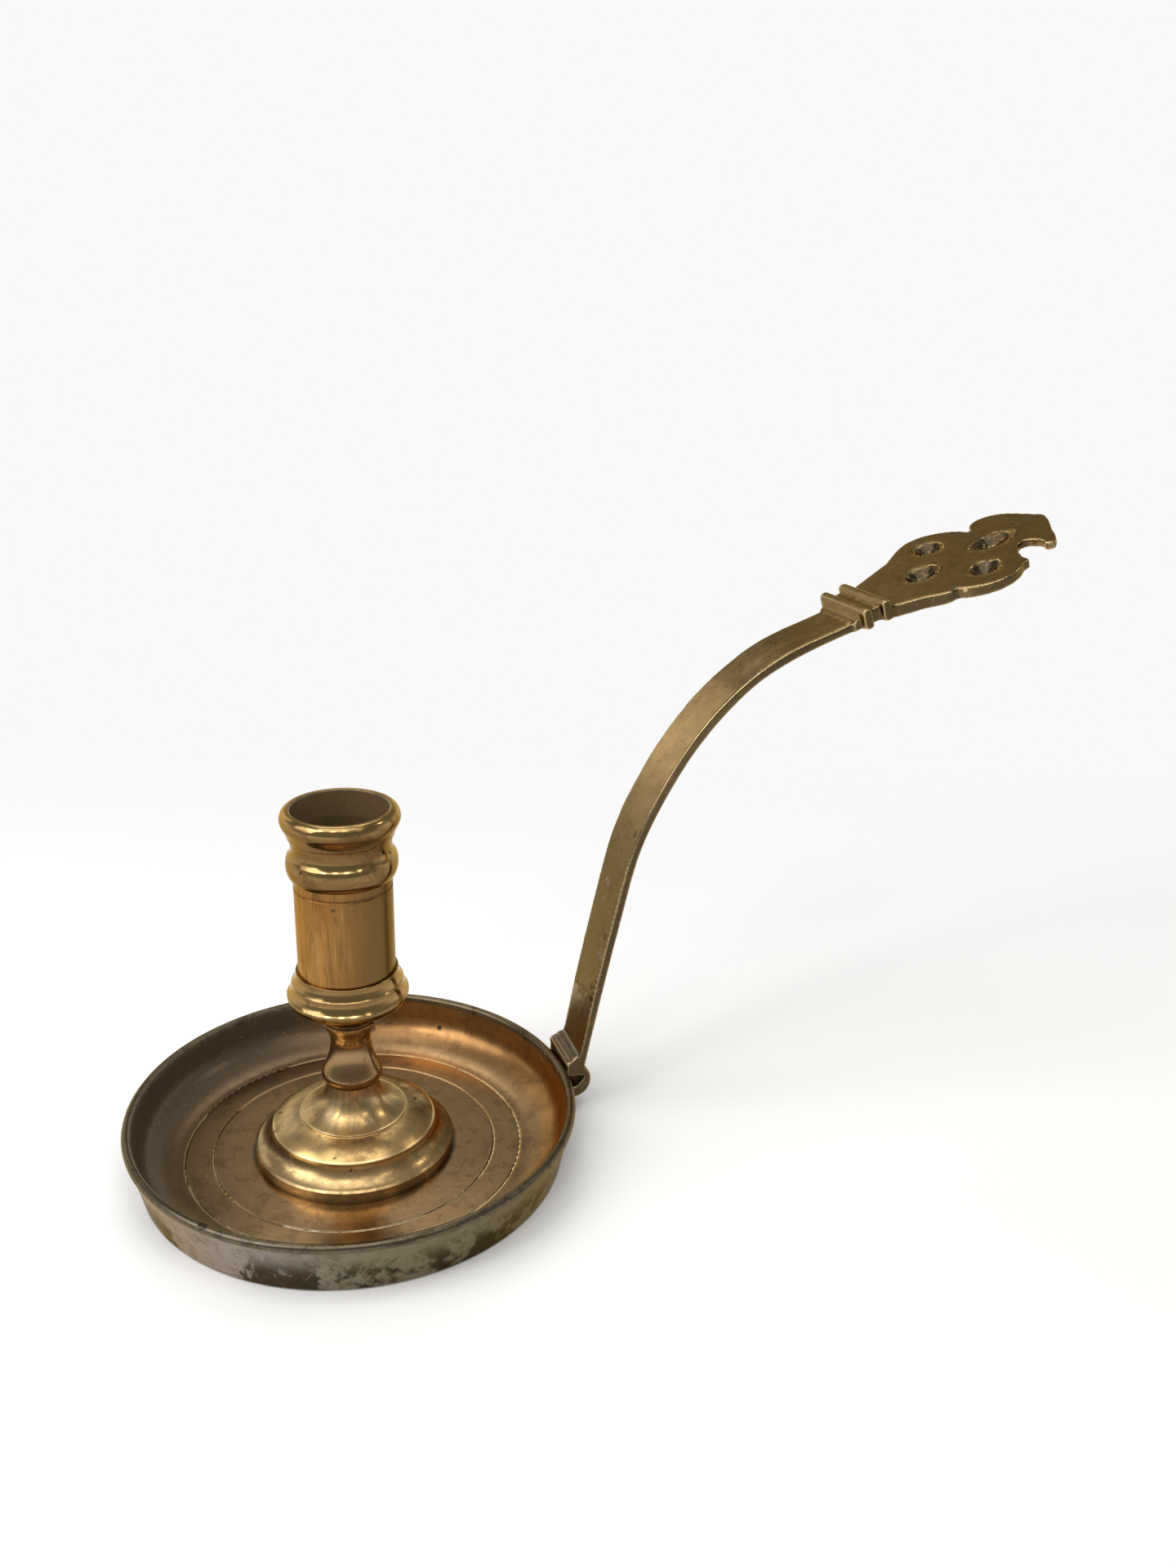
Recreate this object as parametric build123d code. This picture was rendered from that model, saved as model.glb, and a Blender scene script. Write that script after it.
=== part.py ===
"""Brass chamberstick: a round drip pan, a turned candle stick held by one through rod, and a long
upswept strap handle that ends in a pierced finial. Millimetres, +Z up, handle along +X, pan base on Z = 0."""
import os
from math import cos, radians, sin
from build123d import *

# Drip pan
RIM_R = 62.5
RIM_BEAD_R = 1.3
RIM_TOP_Z = 16.2
BASE_R = 58.5
BASE_EDGE = 0.6
FLOOR_Z = 2.5
WALL_T = 1.9
COVE_START_R = 46.8
COVE_END_Z = 9.5
RING_RADII = (39.3, COVE_START_R)
RING_CUT_R = 0.45
RING_CUT_RISE = 0.2
BOSS_R = 14.5
BOSS_FLARE = 1.5
BOSS_TOP_Z = 9.0
BOSS_UNDER_Z = 6.6
RECESS_R = 12.5
RECESS_FLARE = 1.0

# Through rod, washer and nut
ROD_R = 2.5
ROD_FIT = 0.15
THREAD_FIT = 0.05
ROD_END_Z = 1.2
ROD_HEAD_R = 5.0
ROD_HEAD_H = 2.4
SLOT_W = 1.1
SLOT_DEPTH = 1.1
WASHER_R = 8.0
WASHER_T = 1.0
NUT_FLATS = 9.0
NUT_T = 3.4

# Domed foot
FOOT_R = 27.5
PLINTH_R = 26.9
PLINTH_TOP_Z = 5.8
RIDGE2_R = 22.6
RIDGE2_Z = 10.6
RIDGE1_R = 14.8
RIDGE1_Z = 14.3
TRUMPET_R = 7.2
FOOT_TOP_Z = 24.3
FOOT_WALL = 2.4
HOLLOW_TOP_Z = 15.0

# Stem
BELL_R = 8.3
BELL_Z = 25.9
NECK_R = 5.65
NECK_Z = 34.8
STEM_TOP_R = 9.8
STEM_TOP_Z = 46.7
TENON_R = 4.6
TENON_H = 3.4
PUSH_FIT = 0.05

# Candle socket: radii of its mouldings are steps out from the tube
BORE_R = 11.9
TUBE_WALL = 1.15
TUBE_R = BORE_R + TUBE_WALL
FILLET_STEP = 0.95
FILLET_H = 0.85
COLLAR_STEP = 3.35
COLLAR_Z = 51.2
COLLAR_EDGE = 0.8
COLLAR_MID_STEP = 1.95
COLLAR_MID_Z = 55.5
COLLAR_TOP_STEP = 0.7
COLLAR_TOP_Z = 58.8
TUBE_SEAT = 4.0
SOCKET_FLOOR_Z = COLLAR_TOP_Z - TUBE_SEAT
QUIRK_Z = 86.5
QUIRK_STEP = 0.7
TUBE_LINE_DROP = 2.8
TUBE_LINE_R = 0.4
TUBE_LINE_DEPTH = 0.3
TUBE_SLEEVE = 5.5
TUBE_TOP_Z = QUIRK_Z + TUBE_SLEEVE
BEAD_STEP = 1.65
BEAD_Z = 89.2
SHOULDER_STEP = 1.2
SHOULDER_Z = 92.4
COVE_STEP = 0.15
COVE_Z = 94.4
COVE_TOP_STEP = 0.7
COVE_TOP_Z = 97.6
LIP_FILLET = 0.25
LIP_STEP = 2.65
LIP_Z = 102.3
LIP_TOP_STEP = 0.3
LIP_TOP_Z = 105.2
MOUTH_FLARE = 0.85
LIP_ROLL = 0.6
FLARE_END_Z = 98.0

# Handle strap: points of its inner face, measured out from the rim and up from the rim's top
STRAP_INNER = (
    (2.9, 0.3), (4.6, 7.5), (7.2, 20.8), (13.3, 46.6), (19.1, 68.3), (26.4, 83.0),
    (36.4, 97.7), (49.1, 110.4), (64.9, 120.2), (81.2, 125.8), (90.0, 128.8),
)
STRAP_T = 3.0
STRAP_EDGE = 0.4
STRAP_ROOT_W = 13.7
STRAP_BEND_W = 15.2
STRAP_END_W = 16.8
STRAP_BEND_OUT = 21.5

# Handle foot and heel scroll, measured from the rim in the same way
HEEL_W = 13.7
HEEL_OUT = 7.7
HEEL_DROP = 6.5
HEEL_JOIN = (5.5, -0.8)
TOE_OUT = 3.5
TOE_DROP = 10.8
HEEL_T = 2.7
WINDOW_DROP = 3.2
WINDOW_TIP = (5.8, -4.0)
WINDOW_LOW = (2.9, -7.0)
BLOCK_REACH = 0.8
REED_R = 1.45
REED_L = 15.2
REED_SHIFT = 0.6
REED_TILT = 8.0
REEDS = ((1.1, 1.2), (3.2, 2.2))
SEAT_FIT = 0.05

# Rivets that hold the handle to the pan wall
RIVET_R = 1.0
RIVET_HEAD_R = 1.5
RIVET_HEAD_H = 0.7
RIVET_Y = 4.8
RIVET_DROP = 2.0
RIVET_REACH = 3.7

# Double collar and finial, in a plane that slopes up along the handle
FINIAL_ORIGIN = (94.6, 131.55)
FINIAL_SLOPE = 18.56
FINIAL_T = 4.2
FINIAL_TIP_T = 2.4
COLLAR_BAR_W = 23.2
COLLAR_BAR_L = 3.2
COLLAR_BAR_S = (-6.6, 0.0)
COLLAR_BAR_UP = 2.4
COLLAR_BAR_DOWN = 4.0
COLLAR_BAR_EDGE = 1.0
COLLAR_NECK_W = 19.5
COLLAR_NECK_INSET = 1.4
COLLAR_NECK_RISE = 0.5
FLARE_W = 18.6
FLARE_L = 2.2
FLARE_DROP = 1.1
# Outline of each side of the finial: distance along the handle, then distance from its middle line
LOBE_FAR = ((0.0, 9.6), (5.1, 11.6), (13.4, 14.9), (19.1, 16.9))
LOBE_NEAR = ((0.0, -9.6), (4.2, -12.4), (10.2, -14.9), (16.4, -18.4), (18.9, -18.0))
BODY_FAR = ((19.1, 16.9), (25.8, 21.7), (34.4, 24.8), (41.6, 21.9), (47.0, 14.6))
BODY_NEAR = ((18.9, -18.0), (24.2, -23.4), (31.5, -25.1), (36.8, -23.6), (39.8, -21.6))
TOOTH_NEAR = ((39.8, -21.6), (42.9, -20.7))
NOTCH_FAR = ((47.0, 14.6), (47.4, 13.2), (48.8, 14.5))
NOTCH_NEAR = ((42.9, -20.7), (43.0, -17.8), (44.2, -14.8), (47.6, -9.8), (50.5, -8.6), (52.5, -10.6), (52.2, -15.4))
TAIL_FAR = ((48.8, 14.5), (54.5, 18.4), (59.7, 16.9), (64.5, 9.3), (67.2, 2.4))
TAIL_NEAR = ((52.2, -15.4), (54.2, -17.6), (57.4, -14.9), (60.8, -9.2), (64.6, -3.6), (67.2, 2.4))
# Pierced leaf holes: middle, half length along the handle, half width across it, and their size underneath
HOLES = (
    ((19.6, 0.0), 6.2, 4.6), ((45.8, 0.5), 8.2, 4.8), ((32.4, 13.8), 5.0, 4.5), ((32.0, -13.6), 5.2, 4.7),
)
HOLE_UNDER = 0.12
HOLE_OVERRUN = 0.3


def turned(*edges):
    """Solid of revolution about Z from a closed outline given in radius and height."""
    return revolve(Plane.XZ * make_face(list(edges)), axis=Axis.Z)


def tube_of(r_out, r_in, z0, z1):
    """Plain ring between two heights."""
    ring = Pos(0, 0, z0) * extrude(Circle(r_out) - Circle(r_in), z1 - z0)
    return ring


def rod_of(r, z0, z1):
    """Plain cylinder between two heights."""
    return Pos(0, 0, z0) * extrude(Circle(r), z1 - z0)


def between(a, b, across, along):
    """Point at a share of the way from one outline point to another, in radius and in height."""
    return (a[0] + (b[0] - a[0]) * across, a[1] + (b[1] - a[1]) * along)


def from_rim(out, up):
    """Point of the handle's side view, measured from the pan's rim."""
    return (RIM_R + out, RIM_TOP_Z + up)


# Drip pan
bead_r = RIM_R - RIM_BEAD_R
bead_z = RIM_TOP_Z - RIM_BEAD_R
wall_slope = (bead_r - BASE_R) / bead_z


def wall_r(z):
    """Radius of the pan wall's outer face."""
    return BASE_R + wall_slope * z + RIM_BEAD_R * 0.45 * z / bead_z


pan_hole_r = ROD_R + ROD_FIT
cove_end = (wall_r(COVE_END_Z) - WALL_T, COVE_END_Z)
wall_top = (wall_r(bead_z) - WALL_T, bead_z)
cove_start = (COVE_START_R, FLOOR_Z)
cove_curve = Spline(cove_start, between(cove_start, cove_end, 0.63, 0.27), cove_end,
                    tangents=((1, 0), (wall_top[0] - cove_end[0], wall_top[1] - cove_end[1])))
pan_outline = [
    Polyline((pan_hole_r, BOSS_UNDER_Z), (pan_hole_r, BOSS_TOP_Z), (BOSS_R, BOSS_TOP_Z),
             (BOSS_R + BOSS_FLARE, FLOOR_Z), cove_start),
    cove_curve,
    Polyline(cove_end, wall_top, (wall_r(bead_z), bead_z), (wall_r(BASE_EDGE), BASE_EDGE),
             (BASE_R - BASE_EDGE, 0), (RECESS_R + RECESS_FLARE, 0), (RECESS_R, BOSS_UNDER_Z),
             (pan_hole_r, BOSS_UNDER_Z)),
]
pan_body = turned(*pan_outline)
rim_bead = revolve(Plane.XZ * (Pos(bead_r, bead_z) * Circle(RIM_BEAD_R)), axis=Axis.Z)
drip_pan = pan_body + rim_bead
for ring_r in RING_RADII:
    cutter = Pos(ring_r, FLOOR_Z + RING_CUT_RISE) * Circle(RING_CUT_R)
    drip_pan -= revolve(Plane.XZ * cutter, axis=Axis.Z)

# Rivets and their holes
rivet_z = RIM_TOP_Z - RIVET_DROP
inside_r = wall_r(rivet_z) - WALL_T


def rivet_shank(y, fit, start_x):
    """Shank of one rivet, along X from a start inside the pan to its end in the handle's foot."""
    return Pos(0, y, rivet_z) * Rot(0, 90, 0) * rod_of(RIVET_R + fit, start_x, RIM_R + RIVET_REACH + fit)


def rivet(y, fit):
    """One rivet along X with a countersunk head that is filed flush with the inside of the wall."""
    face_x = (inside_r**2 - y**2) ** 0.5
    spin = Pos(0, y, rivet_z) * Rot(0, 90, 0)
    head = spin * Pos(0, 0, face_x + RIVET_HEAD_H / 2) * Cone(RIVET_HEAD_R + fit, RIVET_R + fit, RIVET_HEAD_H)
    collar = spin * rod_of(RIVET_HEAD_R + fit, face_x - RIVET_HEAD_H, face_x)
    return rivet_shank(y, fit, face_x - RIVET_HEAD_H) + head + collar


cavity = turned(
    Line((0, FLOOR_Z), cove_start), cove_curve,
    Polyline(cove_end, wall_top, (wall_top[0], RIM_TOP_Z), (0, RIM_TOP_Z), (0, FLOOR_Z)),
)
rivets = [rivet(y, 0) - cavity for y in (RIVET_Y, -RIVET_Y)]
for y in (RIVET_Y, -RIVET_Y):
    drip_pan -= rivet(y, PUSH_FIT)

# Domed foot
foot_neck = (TRUMPET_R, FOOT_TOP_Z)
ridge1_in = (RIDGE1_R - 0.6, RIDGE1_Z + 0.5)
ridge1_low = (RIDGE1_R, RIDGE1_Z - 0.2)
ridge2_top = (RIDGE2_R, RIDGE2_Z + 0.5)
ridge2_low = (RIDGE2_R, RIDGE2_Z - 0.4)
plinth_top = (PLINTH_R, PLINTH_TOP_Z)
foot_outline = [
    Line((pan_hole_r, FOOT_TOP_Z), foot_neck),
    Spline(foot_neck, between(foot_neck, ridge1_in, 0.17, 0.54), ridge1_in, tangents=((0.05, -1), (1, -0.35))),
    Polyline(ridge1_in, (RIDGE1_R, RIDGE1_Z + 0.4), ridge1_low),
    ThreePointArc(ridge1_low, between(ridge1_low, ridge2_top, 0.59, 0.4), ridge2_top),
    Line(ridge2_top, ridge2_low),
    ThreePointArc(ridge2_low, between(ridge2_low, plinth_top, 0.30, 0.58), plinth_top),
    Polyline(plinth_top, (FOOT_R, PLINTH_TOP_Z - 0.5), (FOOT_R, FLOOR_Z), (FOOT_R - FOOT_WALL, FLOOR_Z),
             (FOOT_R - FOOT_WALL, PLINTH_TOP_Z - FOOT_WALL / 2), (RIDGE2_R - FOOT_WALL, RIDGE2_Z - FOOT_WALL),
             (RIDGE1_R + FOOT_WALL / 2, RIDGE1_Z - 1.5 * FOOT_WALL), (pan_hole_r, HOLLOW_TOP_Z),
             (pan_hole_r, FOOT_TOP_Z)),
]
foot_dome = turned(*foot_outline)
foot_dome -= rod_of(TENON_R + PUSH_FIT, FOOT_TOP_Z - TENON_H - PUSH_FIT, FOOT_TOP_Z + TENON_H)

# Stem
bell = (BELL_R, BELL_Z)
neck_mid = (NECK_R, NECK_Z)
stem_top = (STEM_TOP_R, STEM_TOP_Z)
bell_foot = (BELL_R - 0.7, FOOT_TOP_Z)
stem_outline = [
    Polyline((pan_hole_r, FOOT_TOP_Z - TENON_H), (TENON_R, FOOT_TOP_Z - TENON_H), (TENON_R, FOOT_TOP_Z), bell_foot),
    Spline(bell_foot, bell, between(bell, neck_mid, 0.45, 0.42), neck_mid, between(neck_mid, stem_top, 0.11, 0.39),
           between(neck_mid, stem_top, 0.45, 0.69), stem_top, tangents=((0.5, 1), (1, 0.9))),
    Polyline(stem_top, (TENON_R, STEM_TOP_Z), (TENON_R, STEM_TOP_Z + TENON_H),
             (pan_hole_r, STEM_TOP_Z + TENON_H), (pan_hole_r, FOOT_TOP_Z - TENON_H)),
]
stem = turned(*stem_outline)

# Socket base: two fillets and a flared collar with a counterbore that carries the tube
sleeve_r = TUBE_R + PUSH_FIT
fillet1_r = STEM_TOP_R + FILLET_STEP
fillet2_r = fillet1_r + FILLET_STEP
fillet3_r = fillet2_r + FILLET_STEP
fillet2_z = STEM_TOP_Z + FILLET_H
fillet3_z = fillet2_z + FILLET_H
collar_low = (TUBE_R + COLLAR_STEP, COLLAR_Z)
collar_shoulder = (collar_low[0] - COLLAR_EDGE / 2, COLLAR_Z + 1.5 * COLLAR_EDGE)
collar_mid = (TUBE_R + COLLAR_MID_STEP, COLLAR_MID_Z)
collar_in = (collar_mid[0] - 0.3, COLLAR_MID_Z + 0.2)
collar_top = (TUBE_R + COLLAR_TOP_STEP, COLLAR_TOP_Z)
base_outline = [
    Polyline((pan_hole_r, STEM_TOP_Z), (fillet1_r, STEM_TOP_Z), (fillet1_r, fillet2_z), (fillet2_r, fillet2_z),
             (fillet2_r, fillet3_z), (fillet3_r, fillet3_z)),
    ThreePointArc((fillet3_r, fillet3_z), between((fillet3_r, fillet3_z), collar_low, 0.76, 0.4), collar_low),
    Polyline(collar_low, (collar_low[0], COLLAR_Z + COLLAR_EDGE), collar_shoulder),
    ThreePointArc(collar_shoulder, between(collar_shoulder, collar_mid, 0.83, 0.48), collar_mid),
    Line(collar_mid, collar_in),
    ThreePointArc(collar_in, between(collar_in, collar_top, 0.74, 0.45), collar_top),
    Polyline(collar_top, (sleeve_r, COLLAR_TOP_Z), (sleeve_r, SOCKET_FLOOR_Z), (pan_hole_r, SOCKET_FLOOR_Z),
             (pan_hole_r, STEM_TOP_Z)),
]
socket_base = turned(*base_outline)
socket_base -= rod_of(TENON_R + PUSH_FIT, STEM_TOP_Z - TENON_H, STEM_TOP_Z + TENON_H + PUSH_FIT)
head_z = SOCKET_FLOOR_Z - ROD_HEAD_H / 2
socket_base -= Pos(0, 0, head_z) * Cone(ROD_R + ROD_FIT, ROD_HEAD_R + ROD_FIT, ROD_HEAD_H)

# Socket tube with its incised line
socket_tube = tube_of(TUBE_R, BORE_R, SOCKET_FLOOR_Z, TUBE_TOP_Z)
line_cut = Pos(TUBE_R + TUBE_LINE_R - TUBE_LINE_DEPTH, QUIRK_Z - TUBE_LINE_DROP) * Circle(TUBE_LINE_R)
socket_tube -= revolve(Plane.XZ * line_cut, axis=Axis.Z)

# Socket mouth: shouldered bead, cove and rolled lip, sleeved over the top of the tube
quirk = (TUBE_R + QUIRK_STEP, QUIRK_Z)
shoulder = (TUBE_R + SHOULDER_STEP, SHOULDER_Z)
cove = (TUBE_R + COVE_STEP, COVE_Z)
cove_top = (TUBE_R + COVE_TOP_STEP, COVE_TOP_Z)
lip_foot = (cove_top[0] + LIP_FILLET, COVE_TOP_Z + LIP_FILLET)
lip = (TUBE_R + LIP_STEP, LIP_Z)
lip_top = (TUBE_R + LIP_TOP_STEP, LIP_TOP_Z)
mouth_edge = (BORE_R + MOUTH_FLARE, LIP_TOP_Z - LIP_ROLL)
flare_end = (BORE_R, FLARE_END_Z)
mouth_outline = [
    Polyline((sleeve_r, TUBE_TOP_Z + PUSH_FIT), (sleeve_r, QUIRK_Z), quirk),
    ThreePointArc(quirk, (TUBE_R + BEAD_STEP, BEAD_Z), shoulder),
    ThreePointArc(shoulder, between(shoulder, cove, 0.6, 0.4), cove),
    ThreePointArc(cove, between(cove, cove_top, 0.3, 0.55), cove_top),
    Line(cove_top, lip_foot),
    Spline(lip_foot, between(lip_foot, lip, 0.36, 0.4), lip, between(lip, lip_top, 0.2, 0.66), lip_top,
           tangents=((0.3, 1), (-1, 0))),
    ThreePointArc(lip_top, between(lip_top, mouth_edge, 0.7, 0.25), mouth_edge),
    Polyline(mouth_edge, flare_end, (BORE_R, TUBE_TOP_Z + PUSH_FIT), (sleeve_r, TUBE_TOP_Z + PUSH_FIT)),
]
socket_mouth = turned(*mouth_outline)

# Through rod with a slotted head sunk in the socket floor, its washer and its nut
tie_rod = rod_of(ROD_R, ROD_END_Z, SOCKET_FLOOR_Z)
tie_rod += Pos(0, 0, head_z) * Cone(ROD_R, ROD_HEAD_R, ROD_HEAD_H)
tie_rod -= Pos(0, 0, SOCKET_FLOOR_Z - SLOT_DEPTH / 2) * Box(2 * ROD_HEAD_R + 1, SLOT_W, SLOT_DEPTH)
washer_z = BOSS_UNDER_Z - WASHER_T
tie_washer = tube_of(WASHER_R, ROD_R + ROD_FIT, washer_z, BOSS_UNDER_Z)
nut_face = RegularPolygon(NUT_FLATS / 2, 6, major_radius=False) - Circle(ROD_R + THREAD_FIT)
tie_nut = Pos(0, 0, washer_z - NUT_T) * extrude(nut_face, NUT_T)

# Handle strap
inner_face = Spline(*[from_rim(*p) for p in STRAP_INNER])
strap_steps = len(STRAP_INNER) - 1


def outer_point(share):
    """Point of the strap's outer face, one thickness away from its inner face."""
    p = inner_face @ share
    t = inner_face % share
    return (p.X + t.Y * STRAP_T, p.Y - t.X * STRAP_T)


outer_face = Spline(*[outer_point(i / strap_steps) for i in range(strap_steps + 1)])
strap_side = make_face([
    inner_face, Line(inner_face @ 1, outer_face @ 1), outer_face, Line(outer_face @ 0, inner_face @ 0),
])
strap = extrude(Plane.XZ * strap_side, amount=STRAP_END_W / 2, both=True)
strap_end_x = RIM_R + STRAP_INNER[-1][0] + STRAP_T
half_plan = [(0, STRAP_ROOT_W / 2), (RIM_R, STRAP_ROOT_W / 2), (RIM_R + STRAP_BEND_OUT, STRAP_BEND_W / 2),
             (strap_end_x, STRAP_END_W / 2)]
plan = [*half_plan, *[(x, -y) for x, y in reversed(half_plan)]]
strap &= extrude(make_face(Polyline(*plan, close=True)), amount=2 * (RIM_TOP_Z + STRAP_INNER[-1][1]))
strap = fillet(strap.edges().sort_by(SortBy.LENGTH)[-4:], STRAP_EDGE)

# Handle foot: a block on the rim with two tilted reeds across it, and the heel scroll under it
reeds = [from_rim(*p) for p in REEDS]
window_z = RIM_TOP_Z - WINDOW_DROP
block_top = reeds[-1][1] + BLOCK_REACH
heel_join = from_rim(*HEEL_JOIN)
block_side = make_face(Polyline(
    (bead_r - RIM_BEAD_R, window_z), (bead_r, bead_z), (RIM_R - RIM_BEAD_R / 4, bead_z + RIM_BEAD_R * 0.7),
    (reeds[0][0] - REED_R * 0.9, reeds[0][1]), *reeds, (reeds[-1][0] + BLOCK_REACH, block_top), (heel_join[0], block_top), heel_join,
    (heel_join[0] - 0.6, window_z), close=True))
block = extrude(Plane.XZ * block_side, amount=STRAP_ROOT_W / 2, both=True)
reed_end = REED_L / 2 - REED_R
reed_bow = REED_R * cos(radians(45))
reed = turned(
    ThreePointArc((0, -REED_L / 2), (reed_bow, -reed_end - reed_bow), (REED_R, -reed_end)),
    Line((REED_R, -reed_end), (REED_R, reed_end)),
    ThreePointArc((REED_R, reed_end), (reed_bow, reed_end + reed_bow), (0, REED_L / 2)),
    Line((0, REED_L / 2), (0, -REED_L / 2)),
)
for reed_x, reed_z in reeds:
    block += Pos(reed_x, REED_SHIFT, reed_z) * Rot(90 + REED_TILT, 0, 0) * reed
toe_z = RIM_TOP_Z - TOE_DROP
toe_x = wall_r(toe_z) - WALL_T / 2
toe_out = (RIM_R + TOE_OUT, toe_z)
heel_out = (RIM_R + HEEL_OUT, RIM_TOP_Z - HEEL_DROP)
scroll_top = (RIM_R, window_z)
heel_side = make_face([
    Line((toe_x, toe_z), toe_out),
    ThreePointArc(toe_out, heel_out, heel_join),
    Polyline(heel_join, (scroll_top[0], heel_join[1]), scroll_top, from_rim(*WINDOW_TIP), from_rim(*WINDOW_LOW),
             (toe_x, toe_z + HEEL_T), (toe_x, toe_z)),
])
heel = extrude(Plane.XZ * heel_side, amount=HEEL_W / 2, both=True)

# Double collar and finial, built in the sloping plane
slope = radians(FINIAL_SLOPE)
finial_x, finial_z = from_rim(*FINIAL_ORIGIN)
finial_plane = Plane(
    origin=(finial_x, 0, finial_z), x_dir=(cos(slope), 0, sin(slope)),
    z_dir=(-sin(slope), 0, cos(slope)))
far_side = [Spline(*p) for p in (LOBE_FAR, BODY_FAR, NOTCH_FAR, TAIL_FAR)]
near_side = [Spline(*p) for p in (LOBE_NEAR, BODY_NEAR, NOTCH_NEAR, TAIL_NEAR)]
finial_face = make_face([*far_side, *near_side, Line(*TOOTH_NEAR), Line(LOBE_NEAR[0], LOBE_FAR[0])])
finial = extrude(finial_plane * finial_face, amount=-FINIAL_T)
finial_l = TAIL_FAR[-1][0]
side_plane = Plane(origin=finial_plane.origin, x_dir=finial_plane.x_dir, z_dir=(0, -1, 0))
taper_side = make_face(Polyline(
    (0, 0), (finial_l, 0), (finial_l, -FINIAL_TIP_T), (0, -FINIAL_T), close=True))
finial &= extrude(side_plane * taper_side, amount=finial_l, both=True)


def finial_depth(s):
    """Thickness of the finial at a distance along it."""
    return FINIAL_T + (FINIAL_TIP_T - FINIAL_T) * s / finial_l


def leaf(half_l, half_w):
    """Leaf outline with its points along the handle."""
    return make_face([
        ThreePointArc((-half_l, 0), (0, half_w), (half_l, 0)), ThreePointArc((half_l, 0), (0, -half_w), (-half_l, 0)),
    ])


for middle, half_l, half_w in HOLES:
    top = finial_plane * Pos(*middle, 0) * leaf(half_l, half_w)
    hole_end = -finial_depth(middle[0]) - HOLE_OVERRUN
    under = finial_plane * Pos(*middle, hole_end) * leaf(half_l * HOLE_UNDER, half_w * HOLE_UNDER)
    finial -= loft([top, under])
bar_h = COLLAR_BAR_UP + COLLAR_BAR_DOWN
bar_mid = (COLLAR_BAR_UP - COLLAR_BAR_DOWN) / 2
for s in COLLAR_BAR_S:
    bar = Box(COLLAR_BAR_L, COLLAR_BAR_W, bar_h)
    bar = fillet(bar.edges().filter_by(Axis.Y), COLLAR_BAR_EDGE)
    finial += finial_plane * Pos(s, 0, bar_mid) * bar
neck_l = COLLAR_BAR_S[1] - COLLAR_BAR_S[0]
neck = Box(neck_l, COLLAR_NECK_W, bar_h - COLLAR_NECK_INSET - COLLAR_NECK_RISE)
neck_mid_n = bar_mid + (COLLAR_NECK_RISE - COLLAR_NECK_INSET) / 2
finial += finial_plane * Pos(COLLAR_BAR_S[0] + neck_l / 2, 0, neck_mid_n) * neck
flare_s = COLLAR_BAR_S[0] - COLLAR_BAR_L / 2
flare_low = (flare_s - FLARE_L, -FLARE_DROP)
flare_top = (flare_s, COLLAR_BAR_UP - COLLAR_BAR_EDGE)
flare_side = make_face([
    ThreePointArc(flare_low, between(flare_low, flare_top, 0.72, 0.35), flare_top),
    Polyline(flare_top, (COLLAR_BAR_S[0], flare_top[1]), (COLLAR_BAR_S[0], COLLAR_BAR_EDGE - COLLAR_BAR_DOWN),
             (flare_low[0], -FLARE_DROP - STRAP_T), flare_low),
])
finial += extrude(side_plane * flare_side, amount=FLARE_W / 2, both=True)

# Handle in one piece, seated on the pan wall and drilled for the rivets
seat_wall = turned(Polyline(
    (0, 0), (wall_r(0) + SEAT_FIT, 0), (wall_r(bead_z) + SEAT_FIT, bead_z), (0, bead_z), close=True))
seat = seat_wall + revolve(
    Plane.XZ * (Pos(bead_r, bead_z) * Circle(RIM_BEAD_R + SEAT_FIT)), axis=Axis.Z)
handle = strap + block + heel + finial - seat
for y in (RIVET_Y, -RIVET_Y):
    handle -= rivet_shank(y, PUSH_FIT, bead_r)

pieces = {
    "drip_pan": drip_pan,
    "foot_dome": foot_dome,
    "stem": stem,
    "socket_base": socket_base,
    "socket_tube": socket_tube,
    "socket_mouth": socket_mouth,
    "tie_rod": tie_rod,
    "tie_washer": tie_washer,
    "tie_nut": tie_nut,
    "handle": handle,
    "handle_rivets": Compound(children=rivets),
}
os.makedirs("parts", exist_ok=True)
for name, shape in pieces.items():
    export_step(shape, f"parts/{name}.step")
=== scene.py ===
from math import cos, radians, sin

import bmesh
import bpy
from mathutils import Matrix, Vector, noise


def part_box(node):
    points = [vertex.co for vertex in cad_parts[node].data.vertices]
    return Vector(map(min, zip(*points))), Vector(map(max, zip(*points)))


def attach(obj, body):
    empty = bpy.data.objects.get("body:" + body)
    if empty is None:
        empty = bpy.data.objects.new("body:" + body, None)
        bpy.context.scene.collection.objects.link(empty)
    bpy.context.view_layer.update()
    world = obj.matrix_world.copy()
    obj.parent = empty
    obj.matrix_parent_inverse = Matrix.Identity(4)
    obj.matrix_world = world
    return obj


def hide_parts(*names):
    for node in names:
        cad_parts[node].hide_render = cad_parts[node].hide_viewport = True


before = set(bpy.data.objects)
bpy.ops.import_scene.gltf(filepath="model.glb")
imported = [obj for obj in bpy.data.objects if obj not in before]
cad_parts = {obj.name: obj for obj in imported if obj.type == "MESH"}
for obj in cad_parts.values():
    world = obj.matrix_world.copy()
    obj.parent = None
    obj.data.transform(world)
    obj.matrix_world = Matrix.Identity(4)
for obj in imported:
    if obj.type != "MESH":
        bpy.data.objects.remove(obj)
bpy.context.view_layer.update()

bl_info = {
    "name": "Brass Chamberstick",
    "version": (1, 0, 0),
    "blender": (4, 5, 0),
    "location": "View3D > Sidebar > Chamberstick",
    "description": "Finishes, worn handle and studio stage for a brass chamberstick",
    "category": "Object",
}

MM = 0.001

# Places on the pieces. A pair gives the limits of a zone: where it starts and where it is full

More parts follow.
